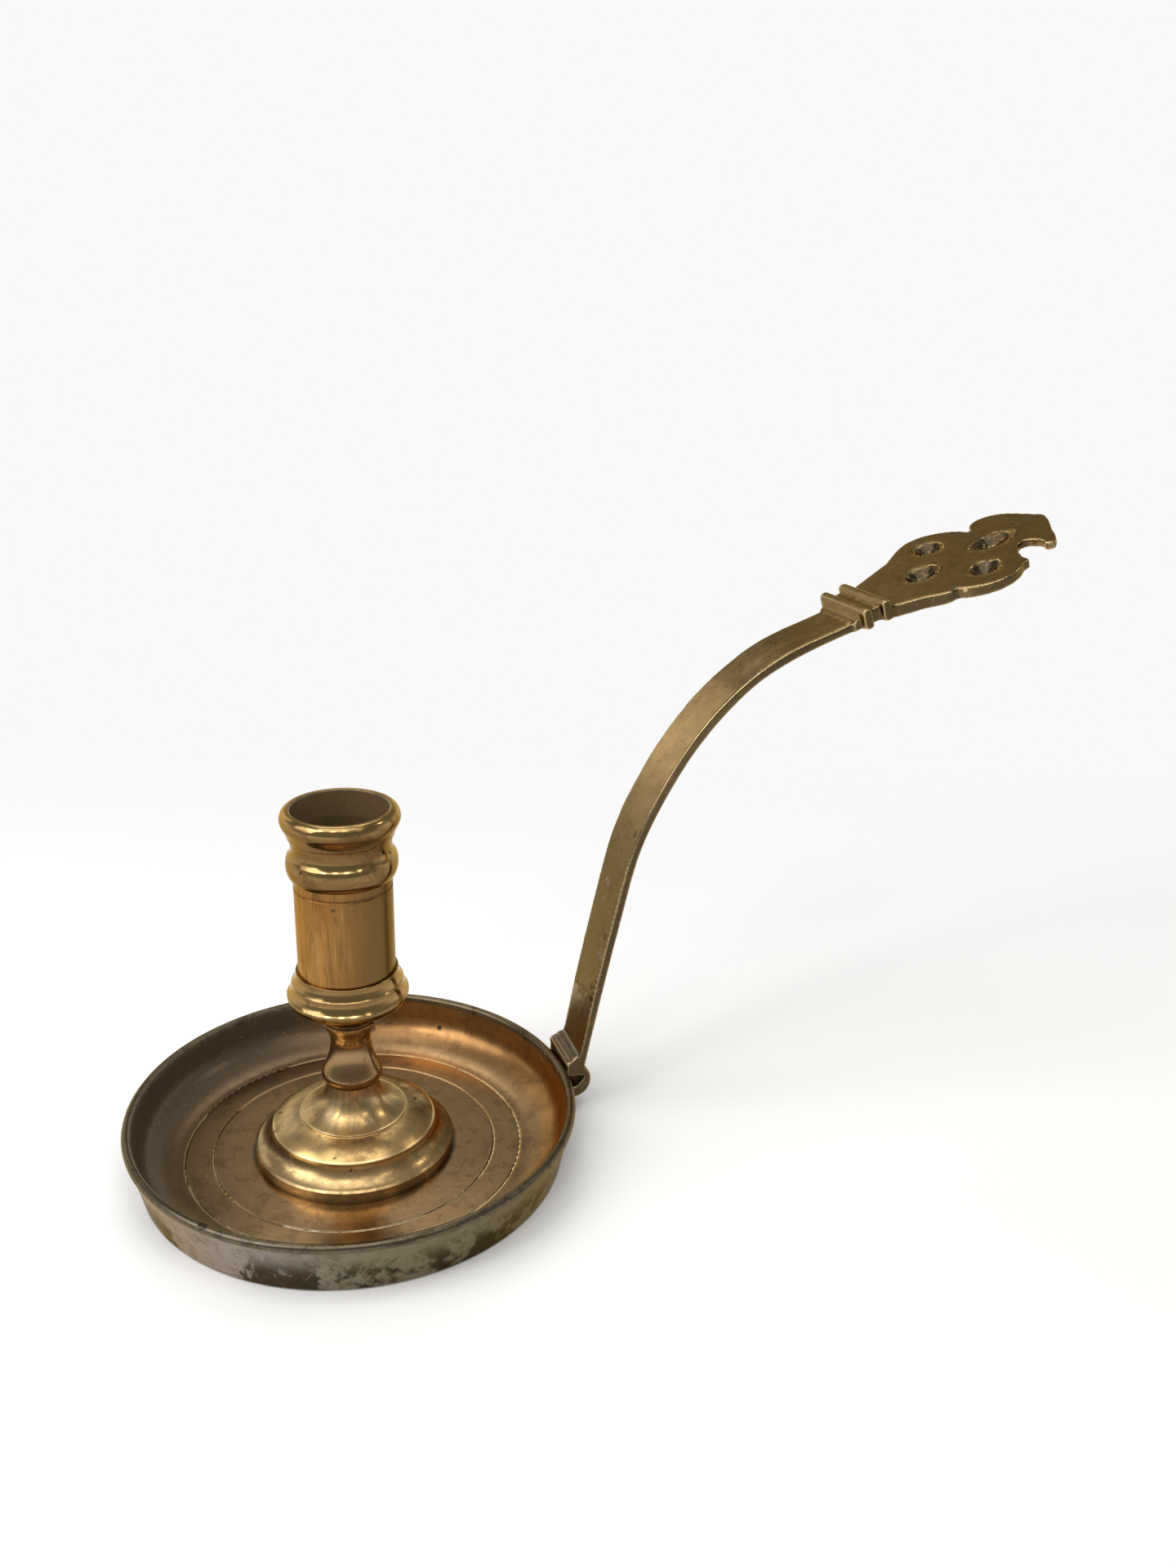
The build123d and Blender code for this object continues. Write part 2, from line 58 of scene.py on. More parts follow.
# Drip pan
RIM_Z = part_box("drip_pan")[1].z
RIM_FILM = (RIM_Z - 2.2 * MM, RIM_Z - 1.4 * MM)
WALL_PATCHES = (RIM_Z * 0.80, RIM_Z * 0.30)
BASE_R = 58.5 * MM
# Radii of the pan floor's incised rings, and half the width of the painted highlight along them
RING_RADII = (39.3 * MM, 46.8 * MM)
RING_HALF = 0.22 * MM
# Round mark inside the wall
BLISTER = (39.5 * MM, 43.5 * MM, 7.0 * MM)
BLISTER_BORDER = (1.5 * MM, 1.1 * MM)
BLISTER_MIDDLE = (0.3 * MM, 0.8 * MM)

# Foot: a flare, a ridge, a shelf, a second ridge and a plinth, with painted shade round it on the pan's
# floor
FOOT_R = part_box("foot_dome")[1].x
FOOT_SHADE_RING = (FOOT_R + 1.6 * MM, FOOT_R + 0.2 * MM)
INNER_RIDGE = 14.8 * MM
OUTER_RIDGE = 22.6 * MM
RIDGE_OFFSET = 0.2 * MM
RIDGE_LINE = (0.5 * MM, 0.25 * MM)
FLARE = (INNER_RIDGE, INNER_RIDGE - 2.0 * MM)
SHELF_INNER = (INNER_RIDGE + 0.1 * MM, INNER_RIDGE + 0.5 * MM)
SHELF_OUTER = (OUTER_RIDGE - 0.6 * MM, OUTER_RIDGE - 3.0 * MM)
PLINTH = (OUTER_RIDGE + 0.2 * MM, OUTER_RIDGE + 0.6 * MM)
BLOT = (INNER_RIDGE, INNER_RIDGE + 1.5 * MM)

# Handle, with its rubbed bend, its finial and the damp stain above its foot
HANDLE_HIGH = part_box("handle")[1]
BEND_HEIGHT = (HANDLE_HIGH.z - 95.0 * MM, HANDLE_HIGH.z - 50.0 * MM)
BEND_REACH = (HANDLE_HIGH.x - 88.0 * MM, HANDLE_HIGH.x - 112.0 * MM)
FINIAL_REACH = (HANDLE_HIGH.x - 100.0 * MM, HANDLE_HIGH.x - 75.0 * MM)
DAMP_TOP = (RIM_Z + 27.0 * MM, RIM_Z + 26.6 * MM)
TIDE_Z = RIM_Z + 26.8 * MM
TIDE_LINE = (0.9 * MM, 0.2 * MM)
TIDE_RAGGED = 14.0 * MM
# Pierced holes of the finial: place from the far end and the middle line, half length and half width
LEAF_HOLES = (
    (-47.6 * MM, 0.0, 6.2 * MM, 4.6 * MM), (-21.4 * MM, 0.5 * MM, 8.2 * MM, 4.8 * MM),
    (-34.8 * MM, 13.8 * MM, 5.0 * MM, 4.5 * MM), (-35.2 * MM, -13.6 * MM, 5.2 * MM, 4.7 * MM),
)
FINIAL_SLOPE = radians(18.56)
SOFTEN_SHARE = 0.5
SOFTEN_ROUNDS = 14
# Rounded lips of the holes, between two squared shares of their size
LIP_ZONE = (0.45, 1.7)
LIP_ROUNDS = 30
# Patterns on the handle's surface, in waves per metre, and their shifts
WAVE_RATE = 90.0
FINE_RATE = 420.0
FINE_SHIFT = Vector((3.0, 1.0, 7.0))
GRAIN_RATE = 900.0
GRAIN_SHIFT = Vector((5.0, 2.0, 4.0))

# Stage: lamps in the camera's directions, right, away and up, each with its width
LAMPS = {
    "key": ((-0.80, -0.35, 0.85), 0.8),
    "overhead": ((0.0, -0.25, 1.10), 0.9),
    "back": ((-0.12, 0.74, 1.02), 0.5),
    "side": ((-0.71, 0.78, 0.60), 0.5),
}
TOP_LAMPS = (
    (-0.45, -0.50, 0.95), (-0.10, -0.62, 1.00), (0.22, -0.55, 1.05), (0.62, -0.45, 0.95), (0.75, 0.30, 0.85),
)
TOP_SIZE = 0.12
LAMP_AIM = Vector((0.04, 0.0, 0.06))
WHITE = (1.0, 1.0, 1.0)
CANDLE_WARM = (1.0, 0.94, 0.80)
FLOOR_HALF = 8.0
# Distances over which the floor fades into the backdrop: behind the object, and all round
FADE_BEHIND = (0.06, 0.34)
FADE_ROUND = (0.5, 1.4)
# Directions over which the backdrop turns into the room behind the camera, and into the ceiling
ROOM_TURN = (-0.35, 0.45)
CEILING_RISE = (0.12, 0.50)


# Node tools

class NodeSheet:
    """Adds nodes to one node tree and links them."""

    def __init__(self, tree):
        self.tree = tree

    def feed(self, socket, value):
        """Links a socket to a value that varies, or sets it to a constant."""
        if isinstance(value, bpy.types.NodeSocket):
            self.tree.links.new(value, socket)
        elif socket.type == "RGBA" and len(value) == 3:
            socket.default_value = (*value, 1.0)
        else:
            socket.default_value = value

    def add(self, kind, inputs=None, **settings):
        """New node of a kind, with its settings and its inputs by name."""
        made = self.tree.nodes.new(kind)
        for key, value in settings.items():
            setattr(made, key, value)
        for key, value in (inputs or {}).items():
            self.feed(made.inputs[key], value)
        return made

    def math(self, operation, *values):
        """Result of one arithmetic step."""
        made = self.add("ShaderNodeMath", operation=operation)
        for socket, value in zip(made.inputs, values):
            self.feed(socket, value)
        return made.outputs[0]

    def times(self, first, second):
        """Product of two values."""
        return self.math("MULTIPLY", first, second)

    def plus(self, first, second):
        """Sum of two values."""
        return self.math("ADD", first, second)

    def minus(self, first, second):
        """Difference of two values."""
        return self.math("SUBTRACT", first, second)

    def weigh(self, first, first_share, second, second_share):
        """Sum of two values, each by its share."""
        return self.plus(self.times(first, first_share), self.times(second, second_share))

    def span(self, x, y):
        """Length of two parts at right angles."""
        return self.math("SQRT", self.plus(self.times(x, x), self.times(y, y)))

    def vector(self, operation, first, second):
        """Node of one step with vectors."""
        return self.add("ShaderNodeVectorMath", {0: first, 1: second}, operation=operation).outputs

    def step(self, value, low, high, to_low=0.0, to_high=1.0):
        """Smooth change from one level to another as a value passes between two limits."""
        inputs = {"Value": value, "From Min": low, "From Max": high, "To Min": to_low, "To Max": to_high}
        return self.add("ShaderNodeMapRange", inputs, interpolation_type="SMOOTHSTEP").outputs["Result"]

    def mix(self, share, under, over):
        """Colour laid over another by a share."""
        made = self.add("ShaderNodeMix", data_type="RGBA")
        for place, value in ((0, share), (6, under), (7, over)):
            self.feed(made.inputs[place], value)
        return made.outputs[2]

    def lay(self, under, over, mask, share):
        """Colour laid over another where a mask is, up to a share."""
        return self.mix(self.times(mask, share), under, over)

    def noise(self, vector, scale, detail=4.0, rough=0.55, distortion=0.0):
        """Soft cloud pattern from 0 to 1."""
        inputs = {"Vector": vector, "Scale": scale, "Detail": detail, "Roughness": rough,
                  "Distortion": distortion}
        return self.add("ShaderNodeTexNoise", inputs).outputs[0]

    def place(self):
        """Place on the object, in metres."""
        return self.add("ShaderNodeTexCoord").outputs["Object"]

    def normal(self):
        """Direction that the surface faces."""
        return self.add("ShaderNodeNewGeometry").outputs["Normal"]

    def shift(self, vector, amount):
        """Pattern vector moved by the same amount along each axis."""
        return self.vector("ADD", vector, amount)[0]

    def parts(self, vector):
        """The three parts of a vector."""
        return self.add("ShaderNodeSeparateXYZ", {0: vector}).outputs

    def join(self, x, y, z):
        """Vector made of three parts."""
        return self.add("ShaderNodeCombineXYZ", {0: x, 1: y, 2: z}).outputs[0]

    def group(self, name, **inputs):
        """Outputs of a shared effect with its own values."""
        made = self.add("ShaderNodeGroup", node_tree=bpy.data.node_groups[name])
        for key, value in inputs.items():
            self.feed(made.inputs[key.replace("_", " ")], value)
        return made.outputs


def new_effect(name, inputs, *outputs):
    """Empty shared effect: its node sheet, what comes in and what goes out."""
    tree = bpy.data.node_groups.new(name, "ShaderNodeTree")
    for label, default in inputs.items():
        socket = tree.interface.new_socket(label, in_out="INPUT", socket_type="NodeSocketFloat")
        socket.default_value = default
    for label in outputs:
        kind = "NodeSocketVector" if label == "Normal" else "NodeSocketFloat"
        tree.interface.new_socket(label, in_out="OUTPUT", socket_type=kind)
    sheet = NodeSheet(tree)
    return sheet, sheet.add("NodeGroupInput").outputs, sheet.add("NodeGroupOutput").inputs


# Shared effects

def mottle_effect():
    """Cloudy patches of tarnish, with a broken border."""
    sheet, given, out = new_effect(
        "Mottle", {"Scale": 60.0, "Cover": 0.5, "Soft": 0.08, "Seed": 0.0}, "Mask", "Cloud")
    place = sheet.shift(sheet.place(), given["Seed"])
    broad = sheet.noise(place, given["Scale"], 6.0, 0.62, 0.5)
    fine = sheet.noise(place, sheet.times(given["Scale"], 5.3), 4.0, 0.6)
    cloud = sheet.weigh(broad, 0.76, fine, 0.24)
    middle = sheet.minus(0.68, sheet.times(given["Cover"], 0.36))
    low = sheet.minus(middle, given["Soft"])
    high = sheet.plus(middle, given["Soft"])
    sheet.feed(out["Mask"], sheet.step(cloud, low, high))
    sheet.feed(out["Cloud"], cloud)


def turning_effect():
    """Fine rings left by the lathe about the stick's axis."""
    sheet, given, out = new_effect("Turning Lines", {"Pitch": 3200.0, "Seed": 0.0}, "Height", "Shade")
    x, y, z = sheet.parts(sheet.place())
    radius = sheet.span(x, y)
    turn = sheet.times(sheet.math("ARCTAN2", y, x), 0.7)
    ring = sheet.join(sheet.times(radius, given["Pitch"]), sheet.times(z, given["Pitch"]),
                      sheet.plus(turn, given["Seed"]))
    sheet.feed(out["Height"], sheet.noise(ring, 1.0, 2.0, 0.7))
    wide = sheet.times(given["Pitch"], 0.22)
    broad = sheet.join(sheet.times(radius, wide), sheet.times(z, wide), turn)
    sheet.feed(out["Shade"], sheet.step(sheet.noise(broad, 1.0, 4.0, 0.65), 0.3, 0.7))


def edge_effect():
    """Edges rubbed bright, and a normal that rounds them."""
    sheet, given, out = new_effect("Worn Edges", {"Radius": 0.0005, "Break": 240.0}, "Mask", "Normal")
    rounded = sheet.add("ShaderNodeBevel", {"Radius": given["Radius"]}, samples=6).outputs[0]
    edge = sheet.step(sheet.vector("DOT_PRODUCT", rounded, sheet.normal())["Value"], 0.995, 0.88)
    broken = sheet.step(sheet.noise(sheet.place(), given["Break"], 5.0, 0.6), 0.3, 0.62, 0.25, 1.0)
    sheet.feed(out["Mask"], sheet.times(edge, broken))
    sheet.feed(out["Normal"], rounded)


def recess_shade_effect():
    """Painted shade: a dark mask in corners and grooves, from ambient occlusion."""
    sheet, given, out = new_effect("Recess Grime", {"Distance": 0.004, "Break": 130.0}, "Mask")
    open_share = sheet.add("ShaderNodeAmbientOcclusion", {"Distance": given["Distance"]}, samples=8,
                           only_local=True).outputs["AO"]
    closed = sheet.step(open_share, 0.78, 0.25)
    broken = sheet.step(sheet.noise(sheet.place(), given["Break"], 5.0, 0.6), 0.25, 0.7, 0.35, 1.0)
    sheet.feed(out["Mask"], sheet.times(closed, broken))


def pit_effect():
    """Small corrosion pits of different sizes."""
    sheet, given, out = new_effect("Pits", {"Scale": 260.0, "Share": 0.2, "Seed": 0.0}, "Mask")
    place = sheet.shift(sheet.place(), given["Seed"])
    uneven = sheet.add("ShaderNodeTexNoise", {"Vector": place, "Scale": 900.0}).outputs[1]
    bent = sheet.vector("ADD", place, sheet.vector("MULTIPLY", uneven, (0.0016, 0.0016, 0.0016))[0])[0]
    cells = sheet.add("ShaderNodeTexVoronoi", {"Vector": bent, "Scale": given["Scale"], "Randomness": 1.0})
    chance = sheet.parts(cells.outputs["Color"])[0]
    size = sheet.step(chance, sheet.minus(1.0, given["Share"]), 1.0, 0.0, 0.3)
    sheet.feed(out["Mask"], sheet.step(sheet.minus(size, cells.outputs["Distance"]), 0.0, 0.08))


def scratch_effect():
    """Hair-fine scratches in several directions, from wiping and handling."""
    sheet, given, out = new_effect("Wiping Scratches", {"Scale": 70.0, "Seed": 0.0}, "Mask")
    place = sheet.shift(sheet.place(), given["Seed"])
    total = None
    for turn in ((0.3, 0.5, 0.2), (1.2, 0.1, 1.1), (0.7, 1.3, 2.2)):
        turned = sheet.add("ShaderNodeVectorRotate", {"Vector": place, "Rotation": turn},
                           rotation_type="EULER_XYZ").outputs[0]
        long = sheet.vector("MULTIPLY", turned, (1.0, 26.0, 26.0))[0]
        lines = sheet.step(sheet.noise(long, given["Scale"], 2.0, 0.5), 0.66, 0.74)
        total = lines if total is None else sheet.math("MAXIMUM", total, lines)
    sheet.feed(out["Mask"], total)


def streak_sheen_effect():
    """Broad, uneven streaks along the drawn tube, with finer ones among them: partly tone of the metal,
    partly painted reflection streaks of lamps.
    """
    sheet, given, out = new_effect("Drawn Streaks", {"Count": 4.0, "Seed": 0.0}, "Cloud", "Height")
    x, y, z = sheet.parts(sheet.place())
    radius = sheet.span(x, y)
    way = sheet.join(sheet.math("DIVIDE", x, radius), sheet.math("DIVIDE", y, radius), sheet.times(z, 6.0))
    way = sheet.shift(way, given["Seed"])
    broad = sheet.noise(way, given["Count"], 4.0, 0.6, 0.4)
    fine = sheet.noise(way, sheet.times(given["Count"], 4.0), 4.0, 0.65)
    sheet.feed(out["Cloud"], sheet.weigh(broad, 0.68, fine, 0.32))
    sheet.feed(out["Height"], fine)


def facing_effect():
    """Painted light and shade by facing: a mask that is 1 on upward faces and 0 on sides and undersides,
    with a broken border.
    """
    sheet, given, out = new_effect("Wiped Tops", {"Low": -0.1, "High": 0.6, "Break": 45.0}, "Mask")
    up = sheet.parts(sheet.normal())[2]
    uneven = sheet.times(sheet.minus(sheet.noise(sheet.place(), given["Break"]), 0.5), 0.5)
    sheet.feed(out["Mask"], sheet.step(sheet.plus(up, uneven), given["Low"], given["High"]))


def sector_effect():
    """Sector of a round piece about one direction from its axis."""
    sheet, given, out = new_effect(
        "Sector", {"Along X": 1.0, "Along Y": 0.0, "Low": 0.0, "High": 1.0}, "Mask")
    x, y, _ = sheet.parts(sheet.place())
    along = sheet.weigh(x, given["Along X"], y, given["Along Y"])
    turned = sheet.math("DIVIDE", along, sheet.span(x, y))
    sheet.feed(out["Mask"], sheet.step(turned, given["Low"], given["High"]))


def axis_place(sheet):
    """Distance from the axis, height, and how far the surface faces away from the axis and up."""
    x, y, z = sheet.parts(sheet.place())
    radius = sheet.span(x, y)
    nx, ny, nz = sheet.parts(sheet.normal())
    return radius, z, sheet.math("DIVIDE", sheet.weigh(nx, x, ny, y), radius), nz


def round_effect():
    """Place and facing on a round piece."""
    labels = ("Radius", "Height", "Outward", "Up")
    sheet, _, out = new_effect("Round Place", {}, *labels)
    for label, value in zip(labels, axis_place(sheet)):
        sheet.feed(out[label], value)


def bore_effect():
    """Dull film where a piece of the candle socket faces the axis, and the metal that shows through it."""
    sheet, given, out = new_effect("Bore Film", {"Metal": 0.25}, "Mask", "Metal")
    outward = axis_place(sheet)[2]
    sheet.feed(out["Mask"], sheet.step(outward, -0.1, -0.5))
    sheet.feed(out["Metal"], sheet.step(outward, -0.1, -0.5, 1.0, given["Metal"]))


def build_effects():
    """Builds every shared effect once."""
    for effect in (mottle_effect, turning_effect, edge_effect, recess_shade_effect, pit_effect, scratch_effect,
                   streak_sheen_effect, facing_effect, sector_effect, round_effect, bore_effect):
        effect()


# Sizes and colours that a user would change

def colour(name, value, description):
    """Colour property."""
    return bpy.props.FloatVectorProperty(
        name=name, description=description, default=value, size=3, min=0.0, max=1.0, subtype="COLOR")


def length(name, value, description):
    """Length property in metres."""
    return bpy.props.FloatProperty(
        name=name, description=description, default=value, min=0.0, unit="LENGTH", precision=5)


def share(name, value, description):
    """Property from 0 to 1."""
    return bpy.props.FloatProperty(
        name=name, description=description, default=value, min=0.0, max=1.0, subtype="FACTOR")


def angle(name, degrees, description):
    """Angle property."""
    return bpy.props.FloatProperty(
        name=name, description=description, default=radians(degrees), subtype="ANGLE")


def power(name, value, description):
    """Power of a lamp, in watts."""
    return bpy.props.FloatProperty(name=name, description=description, default=value, min=0.0, unit="POWER")


class ChamberstickFinish(bpy.types.PropertyGroup):
    """Colours of the brass and its tarnish, and of painted light and shade."""

    # Colours in pairs for upward and steep faces (polished and foot sides, moulding and moulding sides, stem
    # and stem sides) paint light and shade by how a face is turned; the polished colour also paints bright
    # streaks on the tube
    polish_and_light: colour("Polished brass and light", (0.84, 0.575, 0.235), "Tops of the foot, kept bright by wiping")
    foot_side: colour("Foot sides", (0.62, 0.50, 0.32), "Steep parts of the foot")
    moulded: colour("Moulding brass", (0.44, 0.295, 0.12), "Tops of the socket's collar and mouth")
    mould_side: colour("Moulding sides", (0.15, 0.088, 0.034), "Steep parts of the collar and mouth")
    bore: colour("Bore film", (0.17, 0.115, 0.06), "Dull film inside the candle socket")
    warm: colour("Warm brass", (0.27, 0.128, 0.034), "Orange brass of the tube")
    gold: colour("Gold streaks", (0.44, 0.228, 0.066), "Lighter streaks of the tube")
    stem: colour("Stem brass", (0.21, 0.125, 0.052), "Tops of the stem")
    stem_side: colour("Stem sides", (0.40, 0.27, 0.145), "Steep parts of the stem")
    satin: colour("Satin brass", (0.49, 0.315, 0.165), "Dull brass of the pan floor")
    wall: colour("Wall brass", (0.43, 0.228, 0.084), "Orange-brown brass inside the pan wall")
    cast: colour("Cast brass", (0.145, 0.098, 0.046), "Filed casting of the handle")
    # Rubbed bend, and also painted highlight on the walls of the finial's holes
    thumb: colour("Thumbed brass", (0.52, 0.345, 0.16), "Bend of the handle, rubbed by the hand")
    finial: colour("Finial brass", (0.30, 0.19, 0.078), "Casting of the collar and finial")
    # Painted shade on the handle's side faces
    cast_side: colour("Cast sides", (0.068, 0.046, 0.022), "Dull sides of the handle")
    # Damp stain above the handle's foot, and also painted shade and streaks on the foot
    damp_and_shade: colour("Damp stain", (0.30, 0.235, 0.155), "Film on the foot, and stain above the handle's foot")
    olive: colour("Olive tarnish", (0.215, 0.20, 0.14), "Greenish film outside the pan")
    ash: colour("Ash tarnish", (0.37, 0.33, 0.33), "Pale film on the pan's outside")
    # Brown stains, and also painted shade in recesses of turned pieces and in the tube's darker streaks
    brown: colour("Brown stain", (0.095, 0.05, 0.02), "Stains on the foot, the tube and the pan")
    # Painted shade on one side of the pan's floor and inner wall
    side_shade: colour("Floor side shade", (0.080, 0.062, 0.044), "Film on the dark side of the pan floor")
    wall_side_shade: colour("Wall side shade", (0.078, 0.064, 0.047), "Film on the dark side of the pan wall")
    rim: colour("Rim tarnish", (0.13, 0.105, 0.068), "Grey-brown film on the pan's rim")
    # Blackened patches and pits, and also painted shade in recesses, round the foot and in the bottoms of
    # the finial's holes
    dark: colour("Dark tarnish", (0.032, 0.026, 0.019), "Blackened patches and grime")
    # Rubbed edges, and also painted highlight on the pan's rings, the foot's ridges and the handle's corners
    bright: colour("Rubbed edge", (0.80, 0.62, 0.32), "Bare metal on rubbed edges")
    iron: colour("Iron", (0.09, 0.08, 0.07), "Rod and nut")
    iron_edge: colour("Iron edge", (0.40, 0.38, 0.35), "Rubbed edges of the iron")


class ChamberstickWear(bpy.types.PropertyGroup):
    """Amounts and directions of wear, and directions of painted light and shade. Directions are turned from
    the handle.
    """

    edge: length("Edge width", 0.30 * MM, "Width of rubbed edges")
    voxel: length("Handle detail", 0.40 * MM, "Mesh size of the worn handle")
    wave: length("Filing waves", 0.10 * MM, "Height of the hand-filed waves on the handle")
    rough_cast: length("Rough casting", 0.30 * MM, "Height of the rough casting in the pierced holes")
    stain: share("Foot stains", 0.42, "Share of the foot with brown stains")
    patch: share("Wall patches", 0.54, "Share of the pan's outside with dark patches")
    # Painted light: the foot is darker on its sides away from this direction
    foot_lit_side: angle("Foot lit side", 257.0, "Direction of the brightest side of the foot")
    stain_side: angle("Stain side", 28.0, "Direction of the dark stain on the foot")
    # Painted shade: the tube is darker on this side
    tube_shade_side: angle("Tube shade side", 320.0, "Direction of the dullest side of the tube")
    # Painted shade: the pan's floor and inner wall are darker on this side
    pan_shade_side: angle("Pan shade side", 146.0, "Direction of the darkest tarnish inside the pan")
    # Painted reflection: the pan's outside is paler and greyer on this side
    pale_reflection_side: angle("Pale reflection side", 198.0, "Direction of the pale film outside the pan")


class ChamberstickStage(bpy.types.PropertyGroup):
    """Camera, lamps and floor."""

    handle_turn: angle("Handle direction", 24.0, "Handle as the camera sees it, from right to back")
    camera: bpy.props.FloatVectorProperty(
        name="Camera place", description="Camera, right of the stick, behind it and above the floor",
        default=(0.06412, -0.33587, 0.23998), subtype="XYZ", unit="LENGTH")
    pitch: angle("Camera tilt", 20.73, "Tilt below the horizon")
    roll: angle("Camera roll", 1.154, "Turn about the line of sight")
    lens: bpy.props.FloatProperty(
        name="Lens", description="Focal length on a 36 mm frame", default=32.115, min=1.0,
        subtype="DISTANCE_CAMERA")
    floor: colour("Floor", (0.92, 0.92, 0.92), "Pale floor")
    backdrop: share("Backdrop", 0.947, "Brightness of the pale backdrop")
    lift: share("Floor lift", 0.05, "Extra brightness of the floor, as the camera and the metal see it")
    room: share("Room", 0.32, "Brightness of the room behind the camera, as the metal sees it")
    ceiling: share("Ceiling", 0.26, "Brightness of the ceiling, as the metal sees it")
    even: share("Even light", 0.40, "Even light from the room on the floor")
    key: power("Key lamp", 6.0, "Soft lamp at the left")
    top: power("Top lamps", 0.5, "Small soft lamps overhead")
    overhead: power("Overhead lamp", 4.2, "Wide soft lamp above the object")
    back: power("Back lamp", 1.3, "Soft lamp behind")
    side: power("Side lamp", 0.5, "Soft lamp behind, at the left")


# Materials

def start_material(name):
    """New material: itself, its sheet and its shader."""
    made = bpy.data.materials.new(name)
    made.use_nodes = True
    return made, NodeSheet(made.node_tree), made.node_tree.nodes["Principled BSDF"]


def toward(sheet, direction, low, high):
    """Share of a sector about one direction from the handle."""
    return sheet.group("Sector", Along_X=cos(direction), Along_Y=sin(direction), Low=low, High=high)["Mask"]


def bump(sheet, shader, normal, *layers):
    """Stacks heights, each with its depth in metres, on a base normal."""
    for height, depth in layers:
        dent = sheet.add("ShaderNodeBump", {"Strength": 1.0, "Distance": depth, "Height": height})
        if normal is not None:
            sheet.feed(dent.inputs["Normal"], normal)
        normal = dent.outputs[0]
    sheet.feed(shader.inputs["Normal"], normal)


def brass_coat(sheet, shader, base, rough):
    """Colour and roughness that vary, and the constant values of old brass."""
    sheet.feed(shader.inputs["Base Color"], base)
    sheet.feed(shader.inputs["Roughness"], rough)
    shader.inputs["Metallic"].default_value = 1.0
    shader.inputs["Specular Tint"].default_value = (0.92, 0.74, 0.48, 1.0)


def turned_sheen(sheet, shader, amount):
    """Sheen of a turned surface, drawn out across the lathe's rings."""
    shader.inputs["Anisotropic"].default_value = amount
    shader.inputs["Anisotropic Rotation"].default_value = 0.25
    rings = sheet.add("ShaderNodeTangent", direction_type="RADIAL", axis="Z")
    sheet.feed(shader.inputs["Tangent"], rings.outputs[0])


def pan_outside(sheet, finish, wear, height, cloud):
    """Outside of the pan: olive film, with a paler, greyer side that is painted reflection, black patches
    low down and rust freckles.
    """
    low = sheet.step(height, *WALL_PATCHES, 0.10, 0.95)
    patches = sheet.group("Mottle", Scale=62.0, Cover=wear.patch, Soft=0.035, Seed=1.7)
    rust = sheet.group("Mottle", Scale=300.0, Cover=0.35, Soft=0.05, Seed=2.9)
    skin = sheet.lay(finish.olive, finish.cast, cloud, 0.5)
    # Painted reflection: a paler, greyer side
    skin = sheet.lay(skin, finish.ash, toward(sheet, wear.pale_reflection_side, 0.45, 0.98), 0.75)
    skin = sheet.lay(skin, finish.dark, patches["Mask"], low)
    return sheet.lay(skin, finish.brown, rust["Mask"], 0.35)


def wall_blister(sheet, base, finish):
    """Round dark mark inside the pan's wall, paler in its middle."""
    gap = sheet.vector("DISTANCE", sheet.place(), BLISTER)["Value"]
    middle = sheet.step(gap, *BLISTER_MIDDLE, 0.3, 0.9)
    return sheet.lay(base, finish.dark, sheet.step(gap, *BLISTER_BORDER), middle)


def ring_glints(sheet, base, finish, radius, up, cloud):
    """Painted highlight: bright lines along the two incised rings of the pan's floor."""
    for ring in RING_RADII:
        gap = sheet.math("ABSOLUTE", sheet.minus(radius, ring))
        line = sheet.times(sheet.step(gap, RING_HALF, RING_HALF / 2), sheet.step(up, 0.2, 0.6))
        base = sheet.lay(base, finish.bright, line, cloud)
    return base


